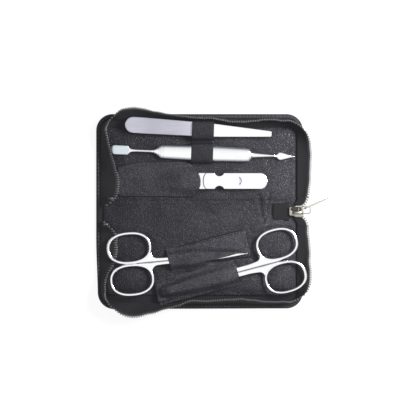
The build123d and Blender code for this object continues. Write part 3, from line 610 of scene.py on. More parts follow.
# The sewn line: up the left side, round a corner, along the far edge, round and down the right.
def sewnLine(s):
    x, far, r, near = (zipShape[k] for k in ("sewnX", "sewnFar", "sewnCorner", "sewnNear"))
    turn = np.linspace(0, math.pi / 2, 40)
    px = np.concatenate([[-x], -x + r - r * np.cos(turn), x - r + r * np.sin(turn), [x]])
    py = np.concatenate([[near - 20], far - r + r * np.sin(turn), far - r + r * np.cos(turn), [near - 20]])
    length = np.concatenate([[0], np.cumsum(np.hypot(np.diff(px), np.diff(py)))]) - 20
    footX, footY = np.interp(s, length, px), np.interp(s, length, py)
    ahead = np.stack([np.interp(s + 0.5, length, px) - np.interp(s - 0.5, length, px),
                      np.interp(s + 0.5, length, py) - np.interp(s - 0.5, length, py)], -1)
    ahead /= np.linalg.norm(ahead, axis=1, keepdims=True)
    return footX, footY, ahead


# At each distance: the foot, the unit way along, up the tape and through it, and the tape's reach.
def tapeFrames(run, s, side):
    footX, footY, ahead = sewnLine(s)
    lean, height = smoothRun(run, s)
    lean = lean + zipShape["ripple"] * softNoise(s, s * 0, 21 + side, 13)
    foot = np.stack([footX, footY * side, np.full_like(s, zipShape["footZ"])], -1)
    along = np.stack([ahead[:, 0], ahead[:, 1] * side, 0 * s], -1)
    outward = np.stack([-ahead[:, 1], ahead[:, 0] * side, 0 * s], -1)
    up = outward * lean[:, None] + np.array([0, 0, 1.0]) * height[:, None]
    reach = np.linalg.norm(up, axis=1)
    up = up / reach[:, None]
    through = np.cross(along, up)
    return foot, along, up, through, reach, outward


# The tape: from its tuck under the lining up to the toothed edge, bowed like a half sine wave.
def tapeSheet(run, s, side):
    foot, along, up, through, reach, outward = tapeFrames(run, s, side)
    t = np.linspace(0, 1, 12)[None, :, None]
    bow = zipShape["bow"] * (0.6 + 0.4 * softNoise(s, s * 0, 31 + side, 30))[:, None, None]
    sign = np.where(np.sum(through * outward, axis=1) < 0, -1.0, 1.0)[:, None, None]
    straight = foot[:, None] + up[:, None] * reach[:, None, None] * t
    sheet = straight + through[:, None] * sign * bow * np.sin(t * math.pi)
    tuck = foot[:, None] - np.array([0, 0, zipShape["tuck"]])
    sheet = np.concatenate([tuck, sheet], axis=1)
    rowGap = np.gradient(sheet, axis=0)
    columnGap = np.gradient(sheet, axis=1)
    normal = np.cross(rowGap, columnGap)
    normal /= np.linalg.norm(normal, axis=-1, keepdims=True)
    half = zipShape["thick"] / 2
    across = np.concatenate([[-zipShape["tuck"]], t[0, :, 0] * zipShape["standing"]])
    uv = np.stack(np.broadcast_arrays(s[:, None], across[None]), -1).reshape(-1, 2)
    return shellMesh(sheet + normal * half, sheet - normal * half), np.concatenate([uv, uv])


# One tooth, along, up and through the tape: a body on the tape's edge, a waist and a round head.
def toothShape():
    outline = np.array([(-0.40, -0.55), (-0.48, -0.3), (-0.48, 0.25), (-0.40, 0.55), (-0.52, 0.95),
                        (-0.38, 1.3),
                        (0.38, 1.3), (0.52, 0.95), (0.40, 0.55), (0.48, 0.25), (0.48, -0.3), (0.40, -0.55)])
    half = np.array([0.5, 0.58, 0.58, 0.52, 0.5, 0.35, 0.35, 0.5, 0.52, 0.58, 0.58, 0.5])
    rings = np.stack([np.column_stack([outline * 0.86, -half]), np.column_stack([outline, -half * 0.72]),
                      np.column_stack([outline, half * 0.72]), np.column_stack([outline * 0.86, half])])
    return ringsMesh(rings)


# The lighter thread that holds each tooth: a small rounded rib on both faces of the tape.
def toothThread():
    u = np.linspace(-1, 1, 5)
    fat = 0.2 * np.sqrt(1.04 - u**2)
    rib = barRings(u * 0.42, fat * 1.3, fat, 2.0, around=8)
    ribs = [np.stack([rib[..., 1], rib[..., 0] - 1.1, rib[..., 2] + depth], -1) for depth in (-0.42, 0.42)]
    return joinMeshes(*(ringsMesh(rings) for rings in ribs))


def teethRow(run, first, last, side, shape):
    s = np.arange(first, last, zipShape["pitch"])
    foot, along, up, through, reach, outward = tapeFrames(run, s, side)
    origin = foot + up * (reach + zipShape["toothGap"])[:, None]
    rng = np.random.default_rng(5 + side)
    tilt = rng.normal(0, 0.05, (len(s), 1))
    return repeatedMesh(*shape, origin, along + through * tilt, up, through)


def zipSide(name, run, first, last, side, body, stands):
    s = np.linspace(first, last, max(8, int((last - first) / 0.8)))
    geometry, uv = tapeSheet(run, s, side)
    tape = makePiece(name + "ZipTape", geometry, wovenTape, body=body, stands=stands[:1],
                     uv=uv)
    teeth = makePiece(name + "ZipTeeth", teethRow(run, first + 0.3, last - 0.2, side, toothShape()),
                      darkTeeth,
                      body=body, stands=stands[1:], sharp=35)
    threads = makePiece(name + "ZipThreads", teethRow(run, first + 0.3, last - 0.2, side, toothThread()),
                        toothThreads,
                        body=body, sharp=60)
    for piece in (tape, teeth, threads):
        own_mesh(piece)


# The lower tape is two pieces, because its left run is pressed flat when the scissors come out.
cornerAt = 50.0
zipSide("upper", upperRun, -5.5, 238.5, 1, "upper_case", ["upper_zip_tape", "upper_zip_teeth"])
zipSide("lowerLeft", lowerRun, -2.6, cornerAt, -1, "lower_case", ["lower_zip_tape", "lower_zip_teeth"])
zipSide("lowerRight", lowerRun, cornerAt, 238.5, -1, "lower_case", ["lower_zip_tape", "lower_zip_teeth"])


# Where the tapes part from the slider: a flat strip between a curved sewn edge and the toothed edge.
spineZip = {"sewnEdge": [(0, 68.6, 9.9), (1, 68.2, 8.0), (2, 67.0, 6.2), (3, 65.6, 5.0)],
            "toothEdge": [(0, 74.7, 9.9), (1, 74.0, 7.6), (2, 72.9, 5.6), (3, 71.2, 4.1)], "z": 4.15,
            "rise": 0.45, "thick": 0.55}


def spineTape():
    t = np.linspace(0, 3, 18)
    tapes, teeth = [], []
    for side in (1, -1):
        sewnX, sewnY = smoothRun(spineZip["sewnEdge"], t)
        toothX, toothY = smoothRun(spineZip["toothEdge"], t)
        share = np.linspace(0, 1, 8)[None, :]
        x = sewnX[:, None] + (toothX - sewnX)[:, None] * share
        y = (sewnY[:, None] + (toothY - sewnY)[:, None] * share) * side
        z = spineZip["z"] + spineZip["rise"] * share * np.ones_like(x)
        top = np.stack([x, y, z + 0.27], -1)
        tapes.append(shellMesh(top, top - np.array([0, 0, spineZip["thick"]])))
        length = np.concatenate([[0], np.cumsum(np.hypot(np.diff(toothX), np.diff(toothY)))])
        at = np.interp(np.arange(0.2, length[-1], zipShape["pitch"]), length, t)
        edgeX, edgeY = smoothRun(spineZip["toothEdge"], at)
        nextX, nextY = smoothRun(spineZip["toothEdge"], at + 0.05)
        along = np.stack([nextX - edgeX, (nextY - edgeY) * side, 0 * at], -1)
        along /= np.linalg.norm(along, axis=1, keepdims=True)
        through = np.tile(np.array([[0, 0, 1.0]]), (len(at), 1))
        up = np.cross(through, along) * side
        origin = np.stack([edgeX, edgeY * side, np.full_like(at, spineZip["z"] + spineZip["rise"])], -1)
        teeth.append(repeatedMesh(*toothShape(), origin + up * zipShape["toothGap"], along, up, through))
    geometry = joinMeshes(*tapes)
    makePiece("spineZipTape", geometry, wovenTape, body="spine", stands=["spine_zip_tape"],
              uv=geometry[0][:, :2])
    makePiece("spineZipTeeth", joinMeshes(*teeth), darkTeeth, body="spine", sharp=35)


spineTape()
print("zip tapes and teeth made")


# Point grid of a leather panel: columns run between two edges given as points from left to right.
def panelGrid(lowEdge, highEdge, rows, columns):
    def spaced(edge, count):
        edge = np.array(edge, float)
        run = pathRun(edge)
        at = (1 - np.cos(np.linspace(0, math.pi, count))) / 2 * 0.25 + np.linspace(0, 1, count) * 0.75
        return np.stack([np.interp(at * run[-1], run, edge[:, k]) for k in (0, 1)], -1)
    low, high = spaced(lowEdge, columns), spaced(highEdge, columns)
    share = (1 - np.cos(np.linspace(0, math.pi, rows))) / 2 * 0.3 + np.linspace(0, 1, rows) * 0.7
    return low[None] + (high - low)[None] * share[:, None, None]


# Height of a panel's round edge at each grid point, from the distance to the border along the grid.
def borderRound(plan, r):
    rows, columns = plan.shape[:2]
    across = np.linalg.norm(np.diff(plan, axis=0), axis=-1)
    fromLow = np.concatenate([np.zeros((1, columns)), np.cumsum(across, axis=0)])
    along = np.linalg.norm(np.diff(plan, axis=1), axis=-1)
    fromLeft = np.concatenate([np.zeros((rows, 1)), np.cumsum(along, axis=1)], axis=1)
    d = np.minimum(np.minimum(fromLow, fromLow[-1] - fromLow),
                   np.minimum(fromLeft, fromLeft[:, -1:] - fromLeft))
    return roundEdge(d, r)


softEdge = 0.35   # radius of the round edge of panels and pocket


# A flat panel with a soft round edge lying on the lining.
def flatPanel(lowEdge, highEdge, rise, thick=0.8, floor=4.5, rows=24, columns=60):
    plan = panelGrid(lowEdge, highEdge, rows, columns)
    soft = borderRound(plan, softEdge)
    x, y = plan[..., 0], plan[..., 1]
    z = floor + softEdge + rise(x, y) + thick * 0.55 + soft
    top = np.stack([x, y, z], -1)
    bottom = np.stack([x, y, np.full_like(z, floor)], -1)
    return shellMesh(top, bottom)


# Unit normals of a grid of points.
def gridNormals(grid):
    normal = np.cross(np.gradient(grid, axis=0), np.gradient(grid, axis=1))
    normal /= np.linalg.norm(normal, axis=-1, keepdims=True)
    return normal * np.where(normal[..., 2:].mean() < 0, -1.0, 1.0)


# A raised passage: at distance v from its middle the leather stands H/(1 + (|v|/w)^5) high and dies
# away into the panel. Each line along it ends where the list of (v, end) says.
def passage(s, floor, thick=0.75, rows=90):
    v = np.linspace(-s["reach"], s["reach"], 75)[None, :]
    end = np.interp(v, *np.array(s["ends"]).T)
    mouth = s["mouth"] + s["slant"] * v
    u = mouth + (end - mouth) * np.linspace(0, 1, rows)[:, None]
    width, lift = (np.interp(u, *np.array(s[key]).T) for key in ("widths", "lifts"))
    slump = smoothStep(u, *s["slump"]) * smoothStep(-v, 2.3, 4.2)
    z = floor + lift * (1 - slump) / (1 + (np.abs(v) / width)**5) + 0.12 * softNoise(u + 0 * v, v + 0 * u, 41,
                                                                                     11)
    top = np.stack([*np.broadcast_arrays(u, v), z], -1)
    bottom = top - gridNormals(top) * thick
    top, bottom = (turned(grid, s["turn"], (*s["pivot"], 0)) for grid in (top, bottom))
    return shellMesh(top, bottom), (top + bottom) / 2


# Slight unevenness of leather that lies flat.
def leatherRipple(x, y):
    return 0.13 * softNoise(x, y, 51, 11) + 0.05 * softNoise(x, y, 52, 4)


# Stitches along a path of points: each is a short rib of thread whose ends dip into the leather.
def stitches(path, pitch=2.2, dash=1.45, radius=0.24):
    path = np.array(path, float)
    run = pathRun(path)
    at = np.arange(pitch / 2, run[-1], pitch)
    origin, before, after = (np.stack([np.interp(at + step, run, path[:, k]) for k in range(3)], -1)
                             for step in (0, -0.4, 0.4))
    along = (after - before) / np.linalg.norm(after - before, axis=1, keepdims=True)
    through = np.cross(along, np.array([0, 0, 1.0]))
    through /= np.linalg.norm(through, axis=1, keepdims=True)
    u = np.linspace(-1, 1, 7)
    fat = radius * np.sqrt(1.02 - u**2)
    rings = barRings(u * dash / 2, fat, fat, 2.0, middleY=-0.35 * radius * u**2, around=8)
    points, faces = ringsMesh(rings)
    return repeatedMesh(points, faces, origin, along, np.cross(through, along), through)


# A thin dark cord along a path of points: a painted shadow line.
def shadowCord(path, radius, around=8):
    path = np.array(path, float)
    run = pathRun(path)
    at = np.linspace(0, run[-1], max(4, int(run[-1] / 0.8)))
    path = np.stack([np.interp(at, run, path[:, k]) for k in range(3)], -1)
    way = np.gradient(path, axis=0)
    way /= np.linalg.norm(way, axis=1, keepdims=True)
    side = np.cross(way, np.array([0, 0, 1.0]))
    side /= np.linalg.norm(side, axis=1, keepdims=True)
    a = np.linspace(0, 2 * math.pi, around, endpoint=False)[None, :, None]
    return ringsMesh(path[:, None]
                     + radius * (np.cos(a) * side[:, None] + np.sin(a) * np.cross(side, way)[:, None]))


sheathSizes = {
    "left": {"pivot": (-3.5, -32.45), "turn": 5.5, "mouth": -17.8, "slant": -0.17, "reach": 8.4,
             "slump": (4.0, 14.0),
             "ends": [(-9, 15.0), (-1.9, 15.2), (-1.6, 16.0), (-1.0, 21.0), (-0.3, 25.0), (0.4, 28.0),
                      (1.2, 30.5),
                      (2.0, 33.0), (9, 34.0)],
             "widths": [(-19, 5.3), (-4, 6.0), (4, 5.6), (16, 4.2), (22, 3.4), (30, 2.4), (34, 2.2)],
             "lifts": [(-19, 4.9), (-4, 5.1), (28, 4.95), (31, 3.4), (34, 0.0)],
             "low": [(-21.2, -40.2), (-19.6, -40.0), (3.0, -35.6), (20.0, -33.4), (36.6, -31.2)],
             "high": [(-22.9, -26.6), (-20.9, -26.6), (-0.2, -20.7), (16.0, -16.4), (31.6, -12.5)]},
    "right": {"pivot": (12.8, -45.9), "turn": 194.6, "mouth": -14.0, "slant": -0.05, "reach": 8.6,
              "slump": (60.0, 70.0),
              "ends": [(-9, 43.5), (9, 43.5)],
              "widths": [(-15, 5.9), (0, 6.3), (20, 5.2), (38, 3.6), (44, 3.0)],
              "lifts": [(-15, 4.9), (0, 5.1), (36, 4.8), (40, 3.0), (43.5, 0.0)],
              "low": [(-28.8, -63.0), (-25.8, -63.2), (11.4, -52.4), (27.9, -46.4)],
              "high": [(-31.3, -49.6), (-29.8, -49.2), (14.9, -38.1), (25.6, -35.1)]},
}

# Heights of the sheaths' parts, the seam's distance from the edge and the radii of the dark cords that paint
# shadow lines along the sheaths' edges and mouths.
sheathLevels = {"panel": 4.7, "arch": 5.45, "seam": 6.05, "edge": 5.5, "seamInset": 1.1, "shadowCordRadius": 0.34,
                "mouthShadowRadius": 0.3}


def scissorsSheath(side):
    s = sheathSizes[side]
    panel = flatPanel(s["low"], s["high"], leatherRipple, floor=sheathLevels["panel"])
    arch, middle = passage(s, sheathLevels["arch"])
    geometry = joinMeshes(panel, arch)
    makePiece(f"{side}ScissorsSheath", geometry, holderLeather, body="lower_case", uv=geometry[0][:, :2],
              stands=[f"{side}_scissors_sheath"], sharp=50)
    rows = [stitches([(x, y + inward * sheathLevels["seamInset"], sheathLevels["seam"]) for x, y in edge[1:]])
            for edge, inward in ((s["low"], 1), (s["high"], -1))]
    geometry = joinMeshes(*rows)
    makePiece(f"{side}SheathStitches", geometry, stitchAndShadowDark, body="lower_case", uv=geometry[0][:, :2], sharp=60)
    # Dark cords round the border and along the passage mouths are painted shadow lines.
    border = [(x, y, sheathLevels["edge"]) for x, y in s["low"] + s["high"][::-1] + s["low"][:1]]
    cords = [shadowCord(border, sheathLevels["shadowCordRadius"]),
             shadowCord(middle[0, 8:-8], sheathLevels["mouthShadowRadius"])]
    if side == "left":
        cords.append(shadowCord(middle[-1, 26:50], sheathLevels["mouthShadowRadius"]))
    geometry = joinMeshes(*cords)
    makePiece(f"{side}SheathShadowCords", geometry, stitchAndShadowDark, body="lower_case", uv=geometry[0][:, :2], sharp=60)


scissorsSheath("left")
scissorsSheath("right")

pocketShape = {"low": [(-56.6, 11.6), (-55.0, 10.7), (-40.0, 10.5), (-20.0, 10.3), (-3.6, 10.35)],
               "high": [(-57.0, 31.0), (-44.7, 33.6), (-34.8, 34.3), (-10.0, 34.5), (-6.8, 33.6),
                        (-3.5, 30.7)],
               "middleY": 21.1, "width": 8.0, "lift": 4.75, "from": -34.0, "to": -8.5, "bulge": 4.1,
               "floor": 4.8}


# Over the jaws the pocket stands lift*step(x)/(1 + (|y - middle|/w)^5) high.
def pocketTop(x, y):
    s = pocketShape
    lift = s["lift"] * smoothStep(x, s["from"], s["to"]) / (1 + (np.abs(y - s["middleY"]) / s["width"])**5)
    return s["floor"] + 0.8 + lift + leatherRipple(x, y)


# The pocket is one sheet with a bulging right edge and a row of stitches inside both long edges.
def clipperPocket():
    s = pocketShape
    plan = panelGrid(s["low"], s["high"], 70, 120)
    share = np.linspace(0, 1, 70)[:, None]
    x = plan[..., 0] + s["bulge"] * np.sin(share * math.pi)**1.2 * np.linspace(0, 1, 120)[None, :]**5
    y = plan[..., 1]
    soft = borderRound(np.stack([x, y], -1), softEdge)
    z = pocketTop(x, y)
    top = np.stack([x, y, z + soft * 0.6], -1)
    bottom = np.stack([x, y, z - 0.55], -1)
    geometry = shellMesh(top, bottom)
    makePiece("clipperPocket", geometry, holderLeather, body="upper_case", uv=geometry[0][:, :2],
              stands=["clipper_pocket"], sharp=50)
    rows = []
    for edge, inward in ((s["low"], 1.7), (s["high"], -2.0)):
        px = np.linspace(edge[1][0] + 1, edge[-1][0] - 1, 60)
        py = np.interp(px, *np.array(edge).T) + inward
        rows.append(stitches(np.stack([px, py, pocketTop(px, py) + 0.1], -1)))
    geometry = joinMeshes(*rows)
    makePiece("pocketStitches", geometry, stitchAndShadowDark, body="upper_case", uv=geometry[0][:, :2], sharp=60)
    # A dark cord round the pocket's border is a painted shadow line.
    middle = (top + bottom) / 2
    border = np.concatenate([middle[0], middle[1:-1, -1], middle[-1, ::-1]])
    geometry = shadowCord(border, 0.28)
    makePiece("pocketShadowCord", geometry, stitchAndShadowDark, body="upper_case", uv=geometry[0][:, :2], sharp=60)


clipperPocket()

strapShape = {"left": -5.8, "right": 9.5, "lean": 0.036, "thick": 0.7, "floor": 5.25, "tail": 32.8,
              "top": 63.8,
              "loops": [(40.55, 6.9, 5.65), (56.46, 6.7, 7.15)]}


# The strap seen from its side: a run along y that climbs over each loop as a rounded box curve,
# y = middle + half*sign(cos a)*|cos a|^(2/n), z = floor + rise*|sin a|^(2/n) with n = 4.
def toolStrap():
    s = strapShape
    ys, zs = [np.linspace(s["tail"], s["loops"][0][0] - s["loops"][0][1] - 0.3, 4)], [np.full(4, s["floor"])]
    for index, (middle, half, rise) in enumerate(s["loops"]):
        a = np.linspace(math.pi, 0, 41)
        ys.append(middle + half * squared(np.cos(a), 0.5))
        zs.append(s["floor"] + rise * np.abs(np.sin(a))**0.5)
        last = index == len(s["loops"]) - 1
        stop = s["top"] if last else s["loops"][1][0] - s["loops"][1][1] - 0.3
        ys.append(np.linspace(middle + half + 0.25, stop, 5))
        zs.append(np.full(5, s["floor"]))
    y, z = np.concatenate(ys), np.concatenate(zs)
    wayY, wayZ = np.gradient(y), np.gradient(z)
    size = np.hypot(wayY, wayZ)
    across = np.array([0, 0.02, 0.05, 0.1, 0.2, 0.35, 0.5, 0.65, 0.8, 0.9, 0.95, 0.98, 1.0])
    pinch = 0.25 * (1 - np.sqrt(np.clip(1 - (2 * across - 1)**16, 0, 1)))
    x = s["left"] + (s["right"] - s["left"]) * across[None, :] + s["lean"] * (y[:, None] - 40)

    def offset(amount):
        return np.stack([x, y[:, None] - (wayZ / size)[:, None] * amount,
                         z[:, None] + (wayY / size)[:, None] * amount], -1)

    geometry = shellMesh(offset(s["thick"] / 2 - pinch), offset(-s["thick"] / 2 + pinch))
    runLength = np.concatenate([[0], np.cumsum(np.hypot(np.diff(y), np.diff(z)))])
    uv = np.stack(np.broadcast_arrays(x, runLength[:, None]), -1).reshape(-1, 2)
    makePiece("toolStrap", geometry, strapShadedLeather, body="upper_case", uv=np.concatenate([uv, uv]),
              stands=["tool_strap"], sharp=50)


toolStrap()
print("leather holders made")


tweezersShape = {"start": (-51.6, 60.5), "turn": -3.85, "midZ": 8.4, "length": 101.8, "sheet": 1.0,
                 "tail": 6.5,
                 "tailHalf": 5.6,
                 "halfWidths": [(6.5, 5.6), (14, 5.55), (48, 4.95), (64, 4.4), (98, 2.15), (101.8, 1.85)],
                 "bows": [(0, 0.5), (8, 0.52), (13, 0.62), (26, 1.45), (40, 2.1), (64, 2.3), (85, 2.25),
                          (103, 2.15)]}


# One arm: a flat bar whose width follows stations, with a round tail, bowed away from the middle.
def tweezersArm(name, side, body, node):
    s = tweezersShape
    u = np.concatenate([s["tail"] * (1 - np.cos(np.linspace(0, math.pi / 2, 18)))[:-1],
                        np.linspace(s["tail"], s["length"], 90)])
    width = np.interp(u, *np.array(s["halfWidths"]).T)
    roundTail = s["tailHalf"] * np.sqrt(np.clip(1 - (1 - u / s["tail"])**2.4, 0.0004, 1))
    width = np.where(u < s["tail"], roundTail, width)
    width = width * np.where(u > s["length"] - 0.7, 0.93, 1.0)
    bow = smoothRun(s["bows"], u)[0]
    thick = np.full_like(u, s["sheet"] / 2)
    rings = barRings(u, width, thick, 6.0, middleZ=side * bow)
    makePiece(name, ringsMesh(turned(rings, s["turn"], (*s["start"], s["midZ"]))), tweezersSteel, body=body,
              stands=[node], sharp=70)


# Tweezers steel: brushed at the tail, polished towards the tips, with the change hidden by the strap. The tail's
# darker lavender colour is partly the brushed finish and partly a painted reflection of darker surroundings.
def tweezersMaterial():
    material, tree, shader = startMaterial("tweezersSteel", Metallic=1.0)
    place = addNode(tree, "ShaderNodeTexCoord").outputs["Object"]
    x = addNode(tree, "ShaderNodeSeparateXYZ", {0: place}).outputs[0]
    share = addNode(tree, "ShaderNodeMapRange", {"Value": x, "From Min": -0.004, "From Max": 0.008},
                    interpolation_type="SMOOTHSTEP").outputs[0]
    lines = addNode(tree, "ShaderNodeGroup", node_tree=brushedGroup)
    tree.links.new(place, lines.inputs["Vector"])
    # Darker lavender at the tail: partly brushed finish, partly painted reflection.
    brushed = mixColour(tree, (0.50, 0.49, 0.565, 1), (0.385, 0.38, 0.44, 1), lines.outputs["Streak"])
    colour = mixColour(tree, brushed, (0.95, 0.95, 0.96, 1), share)
    tree.links.new(colour, shader.inputs["Base Color"])
    rough = addNode(tree, "ShaderNodeMapRange", {"Value": share, "To Min": 0.36, "To Max": 0.10})
    tree.links.new(rough.outputs[0], shader.inputs["Roughness"])
    addBump(tree, shader, lines.outputs["Height"], 0.00002, 0.3)
    return material


tweezersSteel = tweezersMaterial()
tweezersArm("tweezersUpperArm", 1, "tweezers_arm", "tweezers_upper_arm")
tweezersArm("tweezersLowerArm", -1, "tweezers", "tweezers_lower_arm")

# Pusher stations: distance, half width, half thickness, squareness of the section.
pusherShape = {"start": (-61.7, 43.0), "turn": -2.2, "z": 7.7, "crown": 1.25, "satinTo": 12.6, "stations": [
    (0.0, 1.5, 0.26, 2.6), (0.25, 2.2, 0.34, 3.0), (0.9, 2.8, 0.44, 3.2), (1.9, 3.15, 0.5, 3.8),
    (3.2, 3.25, 0.5, 3.8),
    (11.4, 3.2, 0.5, 3.8), (12.2, 2.9, 0.5, 3.4), (13.0, 2.0, 0.52, 3.0), (13.6, 1.4, 0.56, 2.6),
    (14.8, 1.15, 0.62, 2.0),
    (18.0, 1.0, 0.75, 1.8), (27.5, 1.05, 0.95, 1.8), (30.0, 1.4, 1.0, 1.9), (32.0, 2.3, 1.1, 2.0),
    (33.6, 3.8, 1.25, 2.0),
    (34.8, 4.6, 1.45, 2.0), (37.0, 4.9, 1.75, 2.0), (45.0, 5.15, 1.95, 2.0), (58.0, 5.5, 2.1, 2.0),
    (75.0, 5.6, 2.1, 2.0),
    (90.0, 5.3, 2.1, 2.0), (95.4, 5.05, 2.0, 2.0), (96.4, 4.6, 1.85, 2.1), (97.6, 3.4, 1.6, 2.1),
    (98.4, 2.2, 1.3, 2.0),
    (104.0, 1.65, 1.1, 1.9), (112.0, 0.95, 0.9, 2.0), (114.2, 0.95, 0.85, 2.0), (115.4, 1.3, 0.8, 2.2),
    (116.3, 2.2, 0.76, 2.2), (117.1, 2.8, 0.72, 2.2), (118.0, 2.85, 0.7, 2.2), (119.4, 2.6, 0.66, 2.2),
    (121.5, 1.95, 0.6, 2.2), (124.5, 1.1, 0.52, 2.2), (127.0, 0.4, 0.4, 2.0), (127.5, 0.2, 0.28, 2.0)]}


# Double-ended pusher: one forging whose width, thickness and squareness follow the stations.
def cuticlePusher():
    s = pusherShape
    table = np.array(s["stations"])
    u = np.unique(np.concatenate([np.linspace(0, table[-1, 0], 260), table[:, 0]]))
    width, thick, power = (np.interp(u, table[:, 0], table[:, k]) for k in (1, 2, 3))
    kernel = np.array([1, 2, 1]) / 4.0
    for values in (width, thick, power):
        values[1:-1] = np.convolve(values, kernel, "valid")
    rings = barRings(u, width, thick, power, around=40)
    rings[..., 2] *= np.where(rings[..., 2] > 0, s["crown"], 1.0)
    piece = makePiece("cuticlePusher", ringsMesh(turned(rings, s["turn"], (*s["start"], s["z"]))),
                      polishedSteel,
                      body="pusher", stands=["cuticle_pusher"], sharp=55)
    piece.data.materials.append(satinSteel)
    for face in piece.data.polygons:
        face.material_index = int(face.center.x * 1000 < s["start"][0] + s["satinTo"])


cuticlePusher()

leverShape = {"pin": (5.5, 21.1), "width": 10.9, "head": -3.2, "tail": 41.5, "under": 10.7, "sheet": 1.1,
              "slope": 2.2, "notchAt": 8.3, "notchRadius": 3.6, "notchDepth": 2.1, "moonAt": 20.6,
              "moonCut": 0.9,
              "moonRadius": 3.1, "moonDepth": 0.5, "bevel": 0.65, "bevelDepth": 0.6, "edge": 0.15,
              "nose": 2.6,
              "tailRound": 4.8, "earRadius": 0.95, "earZ": -0.65, "earFrom": 2.0, "earTo": 3.0}


# Lever: a plate with round ends, two round notches and a half-moon dimple, tilted down to its tail.
# The head is bevelled: its top falls by bevelDepth*(1 - d/bevel) within the bevel of its round outline.
def clipperLever():
    s = leverShape
    half = s["width"] / 2
    ease = 1 - np.cos(np.linspace(0, math.pi / 2, 20))
    middle = np.linspace(s["head"] + s["nose"], s["tail"] - s["tailRound"], 200)
    u = np.unique(np.concatenate([s["head"] + s["nose"] * ease, middle, s["tail"] - s["tailRound"] * ease]))
    width = np.full_like(u, half)
    nose, tail = (u - s["head"]) / s["nose"], (s["tail"] - u) / s["tailRound"]
    width = np.where(nose < 1, half * np.sqrt(np.clip(1 - (1 - nose)**2.3, 0.0003, 1)), width)
    width = np.where(tail < 1, half * np.sqrt(np.clip(1 - (1 - tail)**2.2, 0.0003, 1)), width)
    notch = np.sqrt(np.clip(s["notchRadius"]**2 - (u - s["notchAt"])**2, 0, None)) - (s["notchRadius"]
                                                                                      - s["notchDepth"])
    width = width - np.clip(notch, 0, None)
    x, y = np.broadcast_arrays(u[None, :], np.sin(np.linspace(-1, 1, 47) * math.pi / 2)[:, None] * width)
    outline = s["head"] + s["nose"] * (1 - np.clip(1 - (y / half)**2, 0, None)**(1 / 2.3))
    soft = borderRound(np.stack([x, y], -1), s["edge"])
    inMoon = (smoothStep(s["moonRadius"] - np.hypot(x - s["moonAt"], y), 0, 0.25)
              * smoothStep(x - s["moonAt"] - s["moonCut"], 0, 0.25))
    fall = s["bevelDepth"] * np.clip(1 - (x - outline) / s["bevel"], 0, 1)
    top = s["sheet"] - s["edge"] + soft - fall - s["moonDepth"] * inMoon
    slope = math.radians(s["slope"])

    def tilted(z):
        return turned(np.stack([x * math.cos(slope) + z * math.sin(slope), y, z - x * math.sin(slope)], -1),
                      0,
                      (*s["pin"], s["under"]))

    plate = shellMesh(tilted(top), tilted(0.1 - soft * 0.6))
    ears = []
    for side in (1, -1):
        a = np.linspace(0, 2 * math.pi, 24, endpoint=False)
        ring = np.stack([s["earRadius"] * np.cos(a), 0 * a, s["earZ"] + s["earRadius"] * np.sin(a)], -1)
        ring[:, 2] = np.where(np.sin(a) > 0, np.maximum(ring[:, 2], 0.2), ring[:, 2])
        ends = np.stack([ring + np.array([0, side * s["earFrom"], 0]),
                         ring + np.array([0, side * s["earTo"], 0])])
        ears.append(ringsMesh(turned(ends, 0, (*s["pin"], s["under"]))))
    piece = makePiece("clipperLever", joinMeshes(plate, *ears), polishedSteel, body="clipper_lever",
                      stands=["clipper_lever"], sharp=40)
    # The half-moon dimple's faces get the darker shadedSteel: painted shade in the dimple.
    piece.data.materials.append(shadedSteel)
    for face in piece.data.polygons:
        dx, dy = face.center.x * 1000 - s["pin"][0] - s["moonAt"], face.center.y * 1000 - s["pin"][1]
        if math.hypot(dx, dy) < s["moonRadius"] and dx > s["moonCut"] and face.normal.z > 0.3:
            face.material_index = 1


clipperLever()

scissorsShape = {
    "midZ": 8.2, "handle": 2.4, "ringWall": 2.15, "ringPower": 2.35, "voxel": 0.26,
    "left": {"pivot": (-3.5, -32.45), "turn": 5.2, "blade": 37.2, "ringAt": 44.5, "ringOut": 11.1,
             "ringLong": 31.2, "ringWide": 22.6, "shank": 4.9, "flare": 5.6, "fillet": 4.2, "boss": 3.2},
    "right": {"pivot": (12.8, -45.9), "turn": 194.9, "blade": 38.5, "ringAt": 45.5, "ringOut": 11.8,
              "ringLong": 29.7, "ringWide": 22.6, "shank": 6.9, "flare": 8.4, "fillet": 3.2, "boss": 4.1}}


# Finger ring: an oval path |x/a|^n + |y/b|^n = 1 and a rounded section carried along it.
def ringTube(cx, cy, a, b, wall, thick):
    t, n = np.linspace(0, 2 * math.pi, 4001), scissorsShape["ringPower"]
    px = cx + (a - wall / 2) * squared(np.cos(t), 2 / n)
    py = cy + (b - wall / 2) * squared(np.sin(t), 2 / n)
    run = np.concatenate([[0], np.cumsum(np.hypot(np.diff(px), np.diff(py)))])
    even = np.linspace(0, run[-1], 180, endpoint=False)
    px, py = np.interp(even, run, px), np.interp(even, run, py)
    way = np.stack([np.roll(px, -2) - np.roll(px, 2), np.roll(py, -2) - np.roll(py, 2)], -1)
    way /= np.linalg.norm(way, axis=1, keepdims=True)
    s = np.linspace(0, 2 * math.pi, 20, endpoint=False)
    out = squared(np.cos(s), 0.85) * wall / 2
    lift = squared(np.sin(s), 0.85) * thick / 2
    x = px[:, None] + way[:, 1:2] * out
    y = py[:, None] - way[:, 0:1] * out
    return ringsMesh(np.stack([x, y, np.broadcast_to(lift, x.shape)], -1), loop=True)


# A flat piece between a lower and an upper edge curve, thick in the middle and rounded at its rim.
def blankShape(u, low, high, thick, middleZ=0.0, power=4.0):
    return ringsMesh(barRings(u, (high - low) / 2, thick, power, middleY=(high + low) / 2, middleZ=middleZ,
                              around=28))


